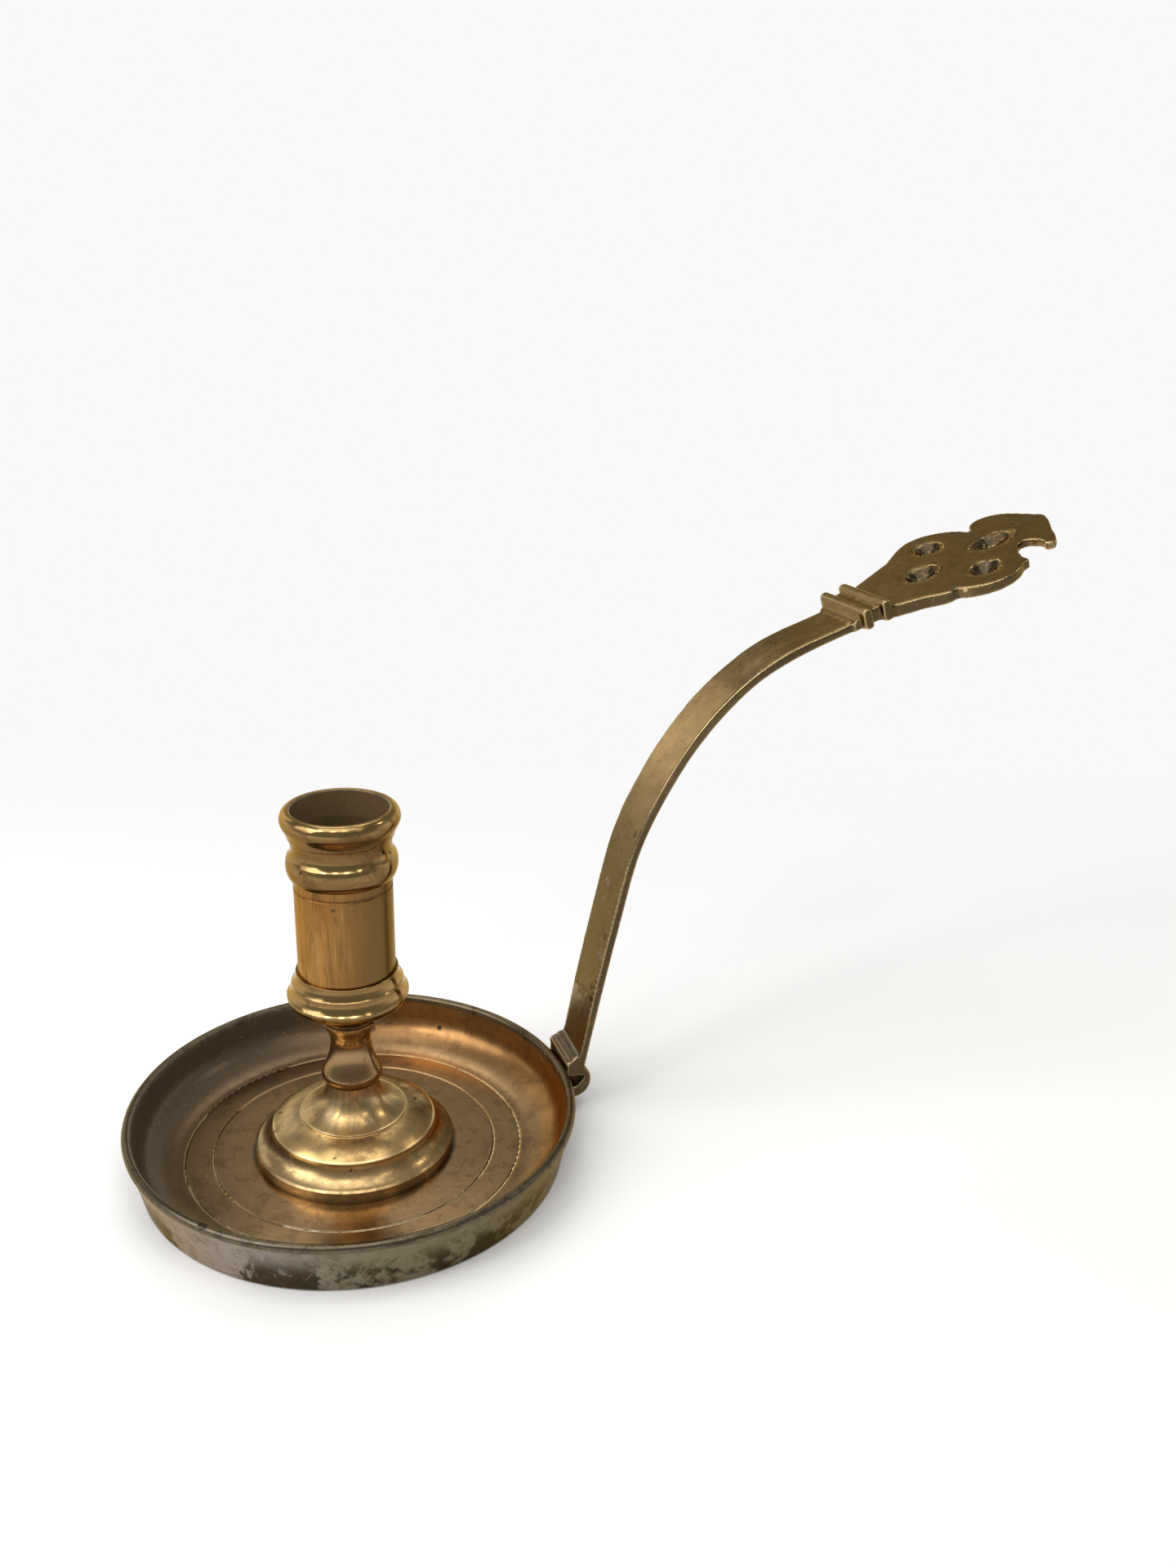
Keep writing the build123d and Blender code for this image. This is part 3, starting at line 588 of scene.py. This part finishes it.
def pan_brass(finish, wear):
    """Drip pan: satin floor with painted highlight on its rings and painted shade on one side and round the
    foot, warm inner wall, dull rim and an olive, patchy outside with a paler side that is painted
    reflection.
    """
    made, sheet, shader = start_material("drip_pan_brass")
    around = sheet.group("Round Place")
    radius, height, outward, up = (around[label] for label in ("Radius", "Height", "Outward", "Up"))
    clouds = sheet.group("Mottle", Scale=42.0, Cover=0.5, Soft=0.12, Seed=0.31)
    freckles = sheet.group("Mottle", Scale=210.0, Cover=0.36, Soft=0.05, Seed=0.77)
    lines = sheet.group("Turning Lines", Pitch=2600.0)
    edges = sheet.group("Worn Edges", Radius=wear.edge)
    pits = sheet.group("Pits", Scale=150.0, Share=0.10)
    scratches = sheet.group("Wiping Scratches", Scale=55.0)
    # Painted shade: one side of the floor and inner wall is darker, and less metallic
    side_shade = sheet.times(toward(sheet, wear.pan_shade_side, -0.1, 0.75),
                       sheet.step(radius, FOOT_R, BASE_R, 0.0, 0.95))
    floor = sheet.lay(finish.satin, finish.brown, clouds["Mask"], 0.25)
    floor = sheet.lay(floor, finish.polish_and_light, lines["Shade"], 0.15)
    floor = sheet.lay(floor, finish.brown, freckles["Mask"], 0.3)
    floor = sheet.mix(side_shade, floor, finish.side_shade)
    # Painted shade: a dark ring on the pan's floor round the foot, where the two meet
    floor = sheet.mix(sheet.step(radius, *FOOT_SHADE_RING, 0.0, 0.7), floor, finish.dark)
    wall = sheet.lay(finish.wall, finish.brown, clouds["Mask"], 0.4)
    wall = sheet.lay(wall, finish.dark, freckles["Mask"], 0.25)
    wall = sheet.mix(side_shade, wall, finish.wall_side_shade)
    skin = pan_outside(sheet, finish, wear, height, clouds["Cloud"])
    rim = sheet.lay(finish.rim, finish.dark, freckles["Mask"], 0.6)
    facing_in = sheet.step(outward, -0.12, -0.62)
    facing_out = sheet.step(outward, 0.1, 0.5)
    base = sheet.mix(facing_in, floor, wall)
    base = sheet.mix(facing_out, base, skin)
    base = sheet.mix(sheet.step(height, *RIM_FILM, 0.0, 0.9), base, rim)
    base = sheet.mix(sheet.step(up, -0.5, -0.9), base, skin)
    base = sheet.lay(base, finish.dark, pits["Mask"], 0.8)
    base = wall_blister(sheet, base, finish)
    base = sheet.lay(base, finish.bright, scratches["Mask"], 0.12)
    base = sheet.lay(base, finish.bright, edges["Mask"], 0.5)
    base = ring_glints(sheet, base, finish, radius, up, clouds["Cloud"])
    rough = sheet.plus(0.13, sheet.times(clouds["Cloud"], 0.14))
    rough = sheet.plus(rough, sheet.times(facing_out, 0.12))
    rough = sheet.plus(rough, sheet.step(outward, -0.05, -0.3, 0.0, 0.12))
    rough = sheet.minus(rough, sheet.times(edges["Mask"], 0.08))
    brass_coat(sheet, shader, base, rough)
    side_shade_inside = sheet.times(side_shade, facing_in)
    sheet.feed(shader.inputs["Metallic"], sheet.step(side_shade_inside, 0.1, 0.8, 1.0, 0.35))
    turned_sheen(sheet, shader, 0.4)
    bump(sheet, shader, edges["Normal"], (lines["Height"], 0.005 * MM), (clouds["Cloud"], 0.08 * MM),
         (sheet.minus(1.0, pits["Mask"]), 0.10 * MM))
    return made


def foot_tarnish_and_shade(sheet, base, finish, wear, cloud):
    """Foot: painted lamp streaks down its flare, a cloudy film on its shelf that fades out towards the outer
    ridge as painted shade, painted shade on the sides away from its lit side, a blot on one side and painted
    highlight along the ridges.
    """
    radius = sheet.group("Round Place")["Radius"]
    streaks = sheet.group("Drawn Streaks", Count=5.0, Seed=4.4)
    smoky = sheet.group("Mottle", Scale=150.0, Cover=0.4, Soft=0.08, Seed=9.3)
    # Painted lamp streaks: darker streaks on the upper flare, between which the brass shows bright
    on_flare = sheet.step(radius, *FLARE)
    base = sheet.lay(base, finish.damp_and_shade, on_flare, sheet.step(streaks["Cloud"], 0.56, 0.42, 0.0, 0.6))
    # Cloudy film on the shelf, fading out towards the outer ridge as painted shade
    on_shelf = sheet.times(sheet.step(radius, *SHELF_INNER), sheet.step(radius, *SHELF_OUTER))
    base = sheet.lay(base, finish.damp_and_shade, on_shelf, sheet.times(smoky["Mask"], 0.55))
    # Darker beyond the outer ridge
    base = sheet.mix(sheet.step(radius, *PLINTH, 0.0, 0.35), base, finish.damp_and_shade)
    # Painted shade on the sides of the foot away from its lit side
    base = sheet.lay(base, finish.damp_and_shade, toward(sheet, wear.foot_lit_side, 0.9, -0.3), 0.5)
    blot = sheet.times(toward(sheet, wear.stain_side, 0.1, 0.8), sheet.step(radius, *BLOT))
    base = sheet.lay(base, finish.brown, blot, sheet.step(cloud, 0.40, 0.56, 0.0, 0.85))
    # Painted highlight along both ridges
    for ridge in (INNER_RIDGE, OUTER_RIDGE):
        gap = sheet.math("ABSOLUTE", sheet.minus(radius, ridge - RIDGE_OFFSET))
        base = sheet.mix(sheet.step(gap, *RIDGE_LINE, 0.0, 0.85), base, finish.bright)
    return base


def turned_brass(name, finish, wear, tops, sides, stain_cover, smooth, seed, foot=False):
    """Turned brass: painted light and shade by facing, with upward faces in one colour and steep faces in
    another; stains, lathe lines, painted shade in recesses, and the foot's own tarnish and painted light.
    """
    made, sheet, shader = start_material(name)
    facing_light = sheet.group("Wiped Tops", Low=-0.2, High=0.7)
    stains = sheet.group("Mottle", Scale=95.0, Cover=stain_cover, Soft=0.07, Seed=seed)
    film = sheet.group("Mottle", Scale=34.0, Cover=0.5, Soft=0.16, Seed=seed + 0.4)
    lines = sheet.group("Turning Lines", Pitch=3400.0, Seed=seed)
    edges = sheet.group("Worn Edges", Radius=wear.edge)
    recess_shade = sheet.group("Recess Grime", Distance=1.2 * MM)
    pits = sheet.group("Pits", Scale=330.0, Share=0.12, Seed=seed)
    scratches = sheet.group("Wiping Scratches", Scale=80.0, Seed=seed)
    inside = sheet.group("Bore Film")
    # Painted light and shade: upward faces get one colour and steep faces another
    base = sheet.mix(facing_light["Mask"], sides, tops)
    base = sheet.lay(base, finish.warm, film["Mask"], 0.25)
    base = sheet.lay(base, finish.satin, lines["Shade"], 0.15)
    base = sheet.lay(base, finish.brown, stains["Mask"], 0.55)
    if foot:
        base = foot_tarnish_and_shade(sheet, base, finish, wear, film["Cloud"])
    # Painted shade in recesses
    base = sheet.lay(base, finish.brown, recess_shade["Mask"], 0.2)
    base = sheet.mix(inside["Mask"], base, finish.bore)
    base = sheet.lay(base, finish.dark, pits["Mask"], 0.75)
    base = sheet.lay(base, finish.bright, scratches["Mask"], 0.12)
    base = sheet.lay(base, finish.bright, edges["Mask"], 0.6)
    rough = sheet.plus(smooth, sheet.times(film["Cloud"], 0.10))
    rough = sheet.plus(rough, sheet.times(stains["Mask"], 0.14))
    brass_coat(sheet, shader, base, rough)
    sheet.feed(shader.inputs["Metallic"], inside["Metal"])
    turned_sheen(sheet, shader, 0.55)
    bump(sheet, shader, edges["Normal"], (lines["Height"], 0.004 * MM), (film["Cloud"], 0.05 * MM),
         (sheet.minus(1.0, pits["Mask"]), 0.06 * MM))
    return made


def tube_brass(finish, wear):
    """Drawn tube: warm, with broad uneven streaks along its length that are partly painted reflection,
    painted shade on one side and in recesses, duller inside.
    """
    made, sheet, shader = start_material("socket_tube_brass")
    streaks = sheet.group("Drawn Streaks", Count=2.4, Seed=0.6)
    fine = sheet.group("Drawn Streaks", Count=9.0, Seed=2.2)
    film = sheet.group("Mottle", Scale=70.0, Cover=0.45, Soft=0.14, Seed=3.3)
    edges = sheet.group("Worn Edges", Radius=wear.edge)
    recess_shade = sheet.group("Recess Grime", Distance=2.0 * MM)
    pits = sheet.group("Pits", Scale=420.0, Share=0.08, Seed=1.1)
    inside = sheet.group("Bore Film")
    tone = sheet.weigh(streaks["Cloud"], 0.5, film["Cloud"], 0.5)
    # Streaks of tone along the tube, partly painted reflection of lamps, with darker and brighter fine
    # streaks
    base = sheet.mix(sheet.step(tone, 0.40, 0.62), finish.warm, finish.gold)
    base = sheet.mix(sheet.step(fine["Cloud"], 0.52, 0.36, 0.0, 0.6), base, finish.brown)
    base = sheet.mix(sheet.step(fine["Cloud"], 0.56, 0.70, 0.0, 0.4), base, finish.polish_and_light)
    base = sheet.lay(base, finish.mould_side, film["Mask"], 0.25)
    # Painted shade: one side of the tube is darker
    base = sheet.mix(toward(sheet, wear.tube_shade_side, -0.1, 1.0), base, finish.mould_side)
    base = sheet.mix(inside["Mask"], base, finish.bore)
    # Painted shade in recesses
    base = sheet.lay(base, finish.dark, recess_shade["Mask"], 0.6)
    base = sheet.lay(base, finish.dark, pits["Mask"], 0.7)
    brass_coat(sheet, shader, base, sheet.plus(0.18, sheet.times(streaks["Cloud"], 0.2)))
    sheet.feed(shader.inputs["Metallic"], inside["Metal"])
    bump(sheet, shader, edges["Normal"], (streaks["Height"], 0.02 * MM), (fine["Height"], 0.02 * MM),
         (film["Cloud"], 0.06 * MM))
    return made


def hole_shade_and_glint(sheet, base, finish, x, y, nx, nz):
    """Painted highlight on the walls and painted shade in the bottoms of the finial's pierced holes, off its
    flat faces.
    """
    along = sheet.math("DIVIDE", sheet.minus(x, HANDLE_HIGH.x), cos(FINIAL_SLOPE))
    bottom = wall = 0.0
    for back, off, half_length, half_width in LEAF_HOLES:
        u = sheet.math("DIVIDE", sheet.minus(along, back), half_length)
        v = sheet.math("DIVIDE", sheet.minus(y, off), half_width)
        gap = sheet.plus(sheet.times(u, u), sheet.times(v, v))
        bottom = sheet.math("MAXIMUM", bottom, sheet.step(gap, 1.0, 0.6))
        wall = sheet.math("MAXIMUM", wall, sheet.step(gap, 1.6, 1.1))
    flat = sheet.weigh(nz, cos(FINIAL_SLOPE), nx, -sin(FINIAL_SLOPE))
    steep = sheet.step(flat, 0.97, 0.8)
    base = sheet.lay(base, finish.thumb, sheet.times(wall, steep), 0.7)
    return sheet.lay(base, finish.dark, sheet.times(bottom, steep), 0.92)


def tide_stain(sheet, base, finish, z, nx, cloud):
    """Damp stain on the inner side of the strap above its foot, with a dark tide line."""
    ragged = sheet.plus(z, sheet.times(cloud, TIDE_RAGGED))
    inner = sheet.step(nx, -0.2, -0.7)
    stained = sheet.times(sheet.step(ragged, *DAMP_TOP), inner)
    base = sheet.lay(base, finish.damp_and_shade, stained, 0.85)
    tide = sheet.math("ABSOLUTE", sheet.minus(ragged, TIDE_Z))
    return sheet.lay(base, finish.dark, sheet.step(tide, *TIDE_LINE, 0.0, 0.6), inner)


def handle_brass(finish, wear):
    """Filed casting: olive-brown satin, rubbed edges that also carry painted highlight, painted shade on its
    sides, in recesses and in its holes, and a dark stain above the foot.
    """
    made, sheet, shader = start_material("handle_brass")
    x, y, z = sheet.parts(sheet.place())
    nx, ny, nz = sheet.parts(sheet.normal())
    film = sheet.group("Mottle", Scale=38.0, Cover=0.5, Soft=0.14, Seed=5.2)
    spots = sheet.group("Mottle", Scale=190.0, Cover=0.3, Soft=0.05, Seed=6.1)
    blotch = sheet.group("Mottle", Scale=110.0, Cover=0.4, Soft=0.12, Seed=7.7)
    pits = sheet.group("Pits", Scale=240.0, Share=0.16, Seed=2.4)
    recess_shade = sheet.group("Recess Grime", Distance=4.0 * MM)
    scratches = sheet.group("Wiping Scratches", Scale=60.0, Seed=2.0)
    # Rubbed edges, and also painted highlight: sharp corners found by pointiness are painted bright like
    # glints
    corner = sheet.add("ShaderNodeNewGeometry").outputs["Pointiness"]
    rub_and_glint = sheet.times(sheet.step(corner, 0.508, 0.55), sheet.step(spots["Cloud"], 0.30, 0.46, 0.75, 1.0))
    on_bend = sheet.times(sheet.step(z, *BEND_HEIGHT), sheet.step(x, *BEND_REACH))
    base = sheet.mix(on_bend, finish.cast, finish.thumb)
    base = sheet.mix(sheet.step(x, *FINIAL_REACH), base, finish.finial)
    base = sheet.lay(base, finish.olive, film["Cloud"], 0.35)
    base = sheet.lay(base, finish.brown, film["Mask"], 0.25)
    base = sheet.lay(base, finish.brown, blotch["Mask"], 0.3)
    base = sheet.mix(sheet.step(blotch["Cloud"], 0.56, 0.72, 0.0, 0.35), base, finish.ash)
    # Painted shade: the handle's side faces are darker than its other faces
    base = sheet.mix(sheet.step(sheet.math("ABSOLUTE", ny), 0.45, 0.85, 0.0, 0.8), base, finish.cast_side)
    base = sheet.lay(base, finish.brown, spots["Mask"], 0.3)
    base = tide_stain(sheet, base, finish, z, nx, blotch["Cloud"])
    # Painted shade in recesses
    base = sheet.lay(base, finish.dark, recess_shade["Mask"], 0.8)
    base = sheet.lay(base, finish.dark, pits["Mask"], 0.6)
    base = sheet.lay(base, finish.bright, scratches["Mask"], 0.15)
    base = hole_shade_and_glint(sheet, base, finish, x, y, nx, nz)
    base = sheet.lay(base, finish.bright, rub_and_glint, 0.6)
    rough = sheet.plus(0.15, sheet.times(film["Cloud"], 0.18))
    brass_coat(sheet, shader, base, sheet.minus(rough, sheet.times(rub_and_glint, 0.10)))
    bump(sheet, shader, None, (film["Cloud"], 0.12 * MM), (spots["Cloud"], 0.015 * MM),
         (sheet.minus(1.0, pits["Mask"]), 0.08 * MM))
    return made


def forged_iron(finish, wear):
    """Dark forged iron with rust freckles."""
    made, sheet, shader = start_material("forged_iron")
    rust = sheet.group("Mottle", Scale=260.0, Cover=0.4, Soft=0.06, Seed=8.0)
    edges = sheet.group("Worn Edges", Radius=wear.edge)
    base = sheet.lay(finish.iron, finish.brown, rust["Mask"], 0.7)
    base = sheet.lay(base, finish.iron_edge, edges["Mask"], 0.5)
    sheet.feed(shader.inputs["Base Color"], base)
    sheet.feed(shader.inputs["Roughness"], sheet.plus(0.4, sheet.times(rust["Cloud"], 0.3)))
    shader.inputs["Metallic"].default_value = 0.9
    bump(sheet, shader, edges["Normal"], (rust["Cloud"], 0.10 * MM))
    return made


def cover(node, material):
    """Gives a CAD piece one material all over."""
    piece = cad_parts[node]
    piece.data.materials.clear()
    piece.data.materials.append(material)


# Worn handle

def hole_gap(point):
    """Distance from the nearest pierced hole's middle, as a squared share of its size: 1 at its border."""
    along = (point.x - HANDLE_HIGH.x) / cos(FINIAL_SLOPE)
    return min(((along - back) / half_length) ** 2 + ((point.y - off) / half_width) ** 2
               for back, off, half_length, half_width in LEAF_HOLES)


def surface_move(point, wear):
    """Small move along the surface normal: filing waves, and rough casting in the holes."""
    broad = noise.noise(point * WAVE_RATE)
    fine = noise.noise(point * FINE_RATE + FINE_SHIFT)
    grain = noise.noise(point * GRAIN_RATE + GRAIN_SHIFT)
    waves = wear.wave * (0.75 * broad + 0.25 * fine - 1.0)
    rough = wear.rough_cast * (1.0 + 0.5 * fine + 0.5 * grain) if hole_gap(point) < 1.0 else 0.0
    return waves + rough


def even_handle(wear):
    """Copy of the handle as an even mesh with softened edges."""
    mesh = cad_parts["handle"].data.copy()
    piece = bpy.data.objects.new("worn_handle", mesh)
    bpy.context.scene.collection.objects.link(piece)
    remesh = piece.modifiers.new("even_mesh", "REMESH")
    remesh.mode = "VOXEL"
    remesh.voxel_size = wear.voxel
    soften = piece.modifiers.new("soften", "SMOOTH")
    soften.factor = SOFTEN_SHARE
    soften.iterations = SOFTEN_ROUNDS
    graph = bpy.context.evaluated_depsgraph_get()
    worn = bpy.data.meshes.new_from_object(piece.evaluated_get(graph))
    worn.name = "worn_handle"
    piece.modifiers.clear()
    piece.data = worn
    bpy.data.meshes.remove(mesh)
    return piece


def worn_handle(wear):
    """Softened handle with rounded lips and rough walls at its holes, and filing waves."""
    piece = even_handle(wear)
    worn = piece.data
    shape = bmesh.new()
    shape.from_mesh(worn)
    lips = [vertex for vertex in shape.verts if LIP_ZONE[0] < hole_gap(vertex.co) < LIP_ZONE[1]]
    for _ in range(LIP_ROUNDS):
        bmesh.ops.smooth_vert(shape, verts=lips, factor=SOFTEN_SHARE,
                              use_axis_x=True, use_axis_y=True, use_axis_z=True)
    shape.normal_update()
    moves = [(vertex, vertex.normal * surface_move(vertex.co, wear)) for vertex in shape.verts]
    for vertex, move in moves:
        vertex.co += move
    shape.to_mesh(worn)
    shape.free()
    for face in worn.polygons:
        face.use_smooth = True
    worn.materials.clear()
    return piece


# Operators

class CHAMBERSTICK_OT_effects(bpy.types.Operator):
    """Build the shared tarnish, wear and grain effects"""

    bl_idname = "chamberstick.effects"
    bl_label = "Shared effects"

    def execute(self, context):
        build_effects()
        return {"FINISHED"}


class CHAMBERSTICK_OT_drip_pan(bpy.types.Operator):
    """Finish the drip pan and the rivets in its wall"""

    bl_idname = "chamberstick.drip_pan"
    bl_label = "Drip pan"

    def execute(self, context):
        pan = pan_brass(context.scene.chamberstick_finish, context.scene.chamberstick_wear)
        for node in ("drip_pan", "handle_rivets"):
            cover(node, pan)
        return {"FINISHED"}


class CHAMBERSTICK_OT_stick(bpy.types.Operator):
    """Finish the turned foot and stem"""

    bl_idname = "chamberstick.stick"
    bl_label = "Foot and stem"

    def execute(self, context):
        finish = context.scene.chamberstick_finish
        wear = context.scene.chamberstick_wear
        cover("foot_dome", turned_brass("foot_brass", finish, wear, finish.polish_and_light, finish.foot_side,
                                        stain_cover=wear.stain, smooth=0.20, seed=0.2, foot=True))
        cover("stem", turned_brass("stem_brass", finish, wear, finish.stem, finish.stem_side,
                                   stain_cover=0.36, smooth=0.12, seed=1.6))
        return {"FINISHED"}


class CHAMBERSTICK_OT_socket(bpy.types.Operator):
    """Finish the candle socket: its collar, tube and mouth"""

    bl_idname = "chamberstick.socket"
    bl_label = "Candle socket"

    def execute(self, context):
        finish = context.scene.chamberstick_finish
        wear = context.scene.chamberstick_wear
        turned = turned_brass("socket_brass", finish, wear, finish.moulded, finish.mould_side,
                              stain_cover=0.30, smooth=0.09, seed=2.8)
        for node in ("socket_base", "socket_mouth"):
            cover(node, turned)
        cover("socket_tube", tube_brass(finish, wear))
        return {"FINISHED"}


class CHAMBERSTICK_OT_fastenings(bpy.types.Operator):
    """Finish the rod, washer and nut that hold the stick to the pan"""

    bl_idname = "chamberstick.fastenings"
    bl_label = "Rod, washer and nut"

    def execute(self, context):
        finish = context.scene.chamberstick_finish
        wear = context.scene.chamberstick_wear
        iron = forged_iron(finish, wear)
        for node in ("tie_rod", "tie_nut"):
            cover(node, iron)
        cover("tie_washer", turned_brass("washer_brass", finish, wear, finish.satin, finish.mould_side,
                                         stain_cover=0.5, smooth=0.25, seed=4.1))
        return {"FINISHED"}


class CHAMBERSTICK_OT_handle(bpy.types.Operator):
    """Build the worn handle over the sharp one"""

    bl_idname = "chamberstick.handle"
    bl_label = "Handle"

    def execute(self, context):
        wear = context.scene.chamberstick_wear
        brass = handle_brass(context.scene.chamberstick_finish, wear)
        cover("handle", brass)
        piece = worn_handle(wear)
        piece.data.materials.append(brass)
        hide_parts("handle")
        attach(piece, "root")
        return {"FINISHED"}


def soft_lamp(name, place, size, watts, tint):
    """Square soft lamp that faces the object."""
    data = bpy.data.lights.new(name, "AREA")
    data.size = size
    data.energy = watts
    data.color = tint
    lamp = bpy.data.objects.new(name, data)
    lamp.location = place
    lamp.rotation_euler = (LAMP_AIM - place).to_track_quat("-Z", "Y").to_euler()
    bpy.context.scene.collection.objects.link(lamp)


def seen_rays(sheet):
    """Rays that show the backdrop: from the camera, and those with rays from metal and through glass."""
    path = sheet.add("ShaderNodeLightPath").outputs
    mirrored = sheet.math("MAXIMUM", path["Is Glossy Ray"], path["Is Transmission Ray"])
    return path["Is Camera Ray"], sheet.math("MAXIMUM", path["Is Camera Ray"], mirrored)


def studio_world(stage):
    """Pale backdrop for the camera and the metal, a greyer room behind the camera, and even light."""
    world = bpy.data.worlds.new("studio_room")
    bpy.context.scene.world = world
    world.use_nodes = True
    sheet = NodeSheet(world.node_tree)
    even = world.node_tree.nodes["Background"]
    even.inputs["Color"].default_value = (*WHITE, 1.0)
    even.inputs["Strength"].default_value = stage.even
    x, y, z = sheet.parts(sheet.add("ShaderNodeTexCoord").outputs["Generated"])
    behind = sheet.weigh(x, -sin(stage.handle_turn), y, -cos(stage.handle_turn))
    pale = (stage.backdrop,) * 3
    room = sheet.mix(sheet.step(behind, *ROOM_TURN), pale, (stage.room,) * 3)
    room = sheet.mix(sheet.step(z, *CEILING_RISE), room, (stage.ceiling,) * 3)
    camera_ray, seen_ray = seen_rays(sheet)
    seen = sheet.add("ShaderNodeBackground", {"Color": sheet.mix(camera_ray, room, pale), "Strength": 1.0})
    mixed = sheet.add("ShaderNodeMixShader", {0: seen_ray, 1: even.outputs[0], 2: seen.outputs[0]})
    out = next(node for node in world.node_tree.nodes if node.type == "OUTPUT_WORLD")
    sheet.feed(out.inputs["Surface"], mixed.outputs[0])


def floor_paint(stage):
    """Pale floor that keeps the shadow near the object and fades into the backdrop far away."""
    made, sheet, shader = start_material("studio_floor")
    shader.inputs["Base Color"].default_value = (*stage.floor, 1.0)
    shader.inputs["Roughness"].default_value = 0.9
    shader.inputs["Specular IOR Level"].default_value = 0.1
    x, y, _ = sheet.parts(sheet.place())
    seen_ray = seen_rays(sheet)[1]
    glow = sheet.add("ShaderNodeEmission", {"Color": WHITE, "Strength": sheet.times(seen_ray, stage.lift)})
    near = sheet.add("ShaderNodeAddShader", {0: shader.outputs[0], 1: glow.outputs[0]})
    far = sheet.add("ShaderNodeEmission", {"Color": (stage.backdrop,) * 3, "Strength": 1.0})
    behind = sheet.weigh(x, sin(stage.handle_turn), y, cos(stage.handle_turn))
    distant = sheet.math("MAXIMUM", sheet.step(behind, *FADE_BEHIND),
                         sheet.step(sheet.span(x, y), *FADE_ROUND))
    fade = sheet.times(seen_ray, distant)
    both = sheet.add("ShaderNodeMixShader", {0: fade, 1: near.outputs[0], 2: far.outputs[0]})
    out = next(node for node in made.node_tree.nodes if node.type == "OUTPUT_MATERIAL")
    sheet.feed(out.inputs["Surface"], both.outputs[0])
    return made


def pale_floor(stage):
    """Wide flat floor under the object."""
    mesh = bpy.data.meshes.new("studio_floor")
    corners = [(x * FLOOR_HALF, y * FLOOR_HALF, 0.0) for x, y in ((-1, -1), (1, -1), (1, 1), (-1, 1))]
    mesh.from_pydata(corners, [], [(0, 1, 2, 3)])
    floor = bpy.data.objects.new("studio_floor", mesh)
    bpy.context.scene.collection.objects.link(floor)
    mesh.materials.append(floor_paint(stage))


def photo_camera(stage):
    """Camera at the photograph's place, tilt, roll and lens."""
    data = bpy.data.cameras.new("photo_camera")
    data.lens = stage.lens
    data.sensor_width = 36.0
    data.clip_start = 0.01
    camera = bpy.data.objects.new("photo_camera", data)
    turn = Matrix.Rotation(-stage.handle_turn, 4, "Z")
    tilt = Matrix.Rotation(radians(90.0) - stage.pitch, 4, "X")
    roll = Matrix.Rotation(stage.roll, 4, "Z")
    camera.matrix_world = turn @ Matrix.Translation(stage.camera) @ tilt @ roll
    bpy.context.scene.collection.objects.link(camera)
    bpy.context.scene.camera = camera


class CHAMBERSTICK_OT_stage(bpy.types.Operator):
    """Set the floor, room, lamps and camera"""

    bl_idname = "chamberstick.stage"
    bl_label = "Studio stage"

    def execute(self, context):
        stage = context.scene.chamberstick_stage
        context.scene.view_settings.view_transform = "Standard"
        studio_world(stage)
        pale_floor(stage)
        turn = Matrix.Rotation(-stage.handle_turn, 3, "Z")
        for name, (place, size) in LAMPS.items():
            soft_lamp(f"{name}_lamp", turn @ Vector(place), size, getattr(stage, name), WHITE)
        for number, place in enumerate(TOP_LAMPS):
            soft_lamp(f"top_lamp_{number}", turn @ Vector(place), TOP_SIZE, stage.top, CANDLE_WARM)
        photo_camera(stage)
        return {"FINISHED"}


class CHAMBERSTICK_PT_sidebar(bpy.types.Panel):
    """Sidebar of the chamberstick"""

    bl_label = "Chamberstick"
    bl_space_type = "VIEW_3D"
    bl_region_type = "UI"
    bl_category = "Chamberstick"

    def draw(self, context):
        scene = context.scene
        for operator in OPERATORS:
            self.layout.operator(operator.bl_idname)
        for group in (scene.chamberstick_finish, scene.chamberstick_wear, scene.chamberstick_stage):
            box = self.layout.box()
            for key in group.__annotations__:
                box.prop(group, key)


OPERATORS = (
    CHAMBERSTICK_OT_effects, CHAMBERSTICK_OT_drip_pan, CHAMBERSTICK_OT_stick, CHAMBERSTICK_OT_socket,
    CHAMBERSTICK_OT_fastenings, CHAMBERSTICK_OT_handle, CHAMBERSTICK_OT_stage,
)
GROUPS = {
    "chamberstick_finish": ChamberstickFinish,
    "chamberstick_wear": ChamberstickWear,
    "chamberstick_stage": ChamberstickStage,
}


def register():
    """Registers the classes and gives the scene their values."""
    for kind in (*GROUPS.values(), *OPERATORS, CHAMBERSTICK_PT_sidebar):
        bpy.utils.register_class(kind)
    for name, kind in GROUPS.items():
        setattr(bpy.types.Scene, name, bpy.props.PointerProperty(type=kind))


def unregister():
    """Takes the values and the classes away again."""
    for name in GROUPS:
        delattr(bpy.types.Scene, name)
    for kind in reversed((*GROUPS.values(), *OPERATORS, CHAMBERSTICK_PT_sidebar)):
        bpy.utils.unregister_class(kind)


def main():
    """Builds the whole scene in order."""
    register()
    bpy.ops.chamberstick.effects()
    bpy.ops.chamberstick.drip_pan()
    bpy.ops.chamberstick.stick()
    bpy.ops.chamberstick.socket()
    bpy.ops.chamberstick.fastenings()
    bpy.ops.chamberstick.handle()
    bpy.ops.chamberstick.stage()
    bpy.context.view_layer.update()


if __name__ == "__main__":
    main()
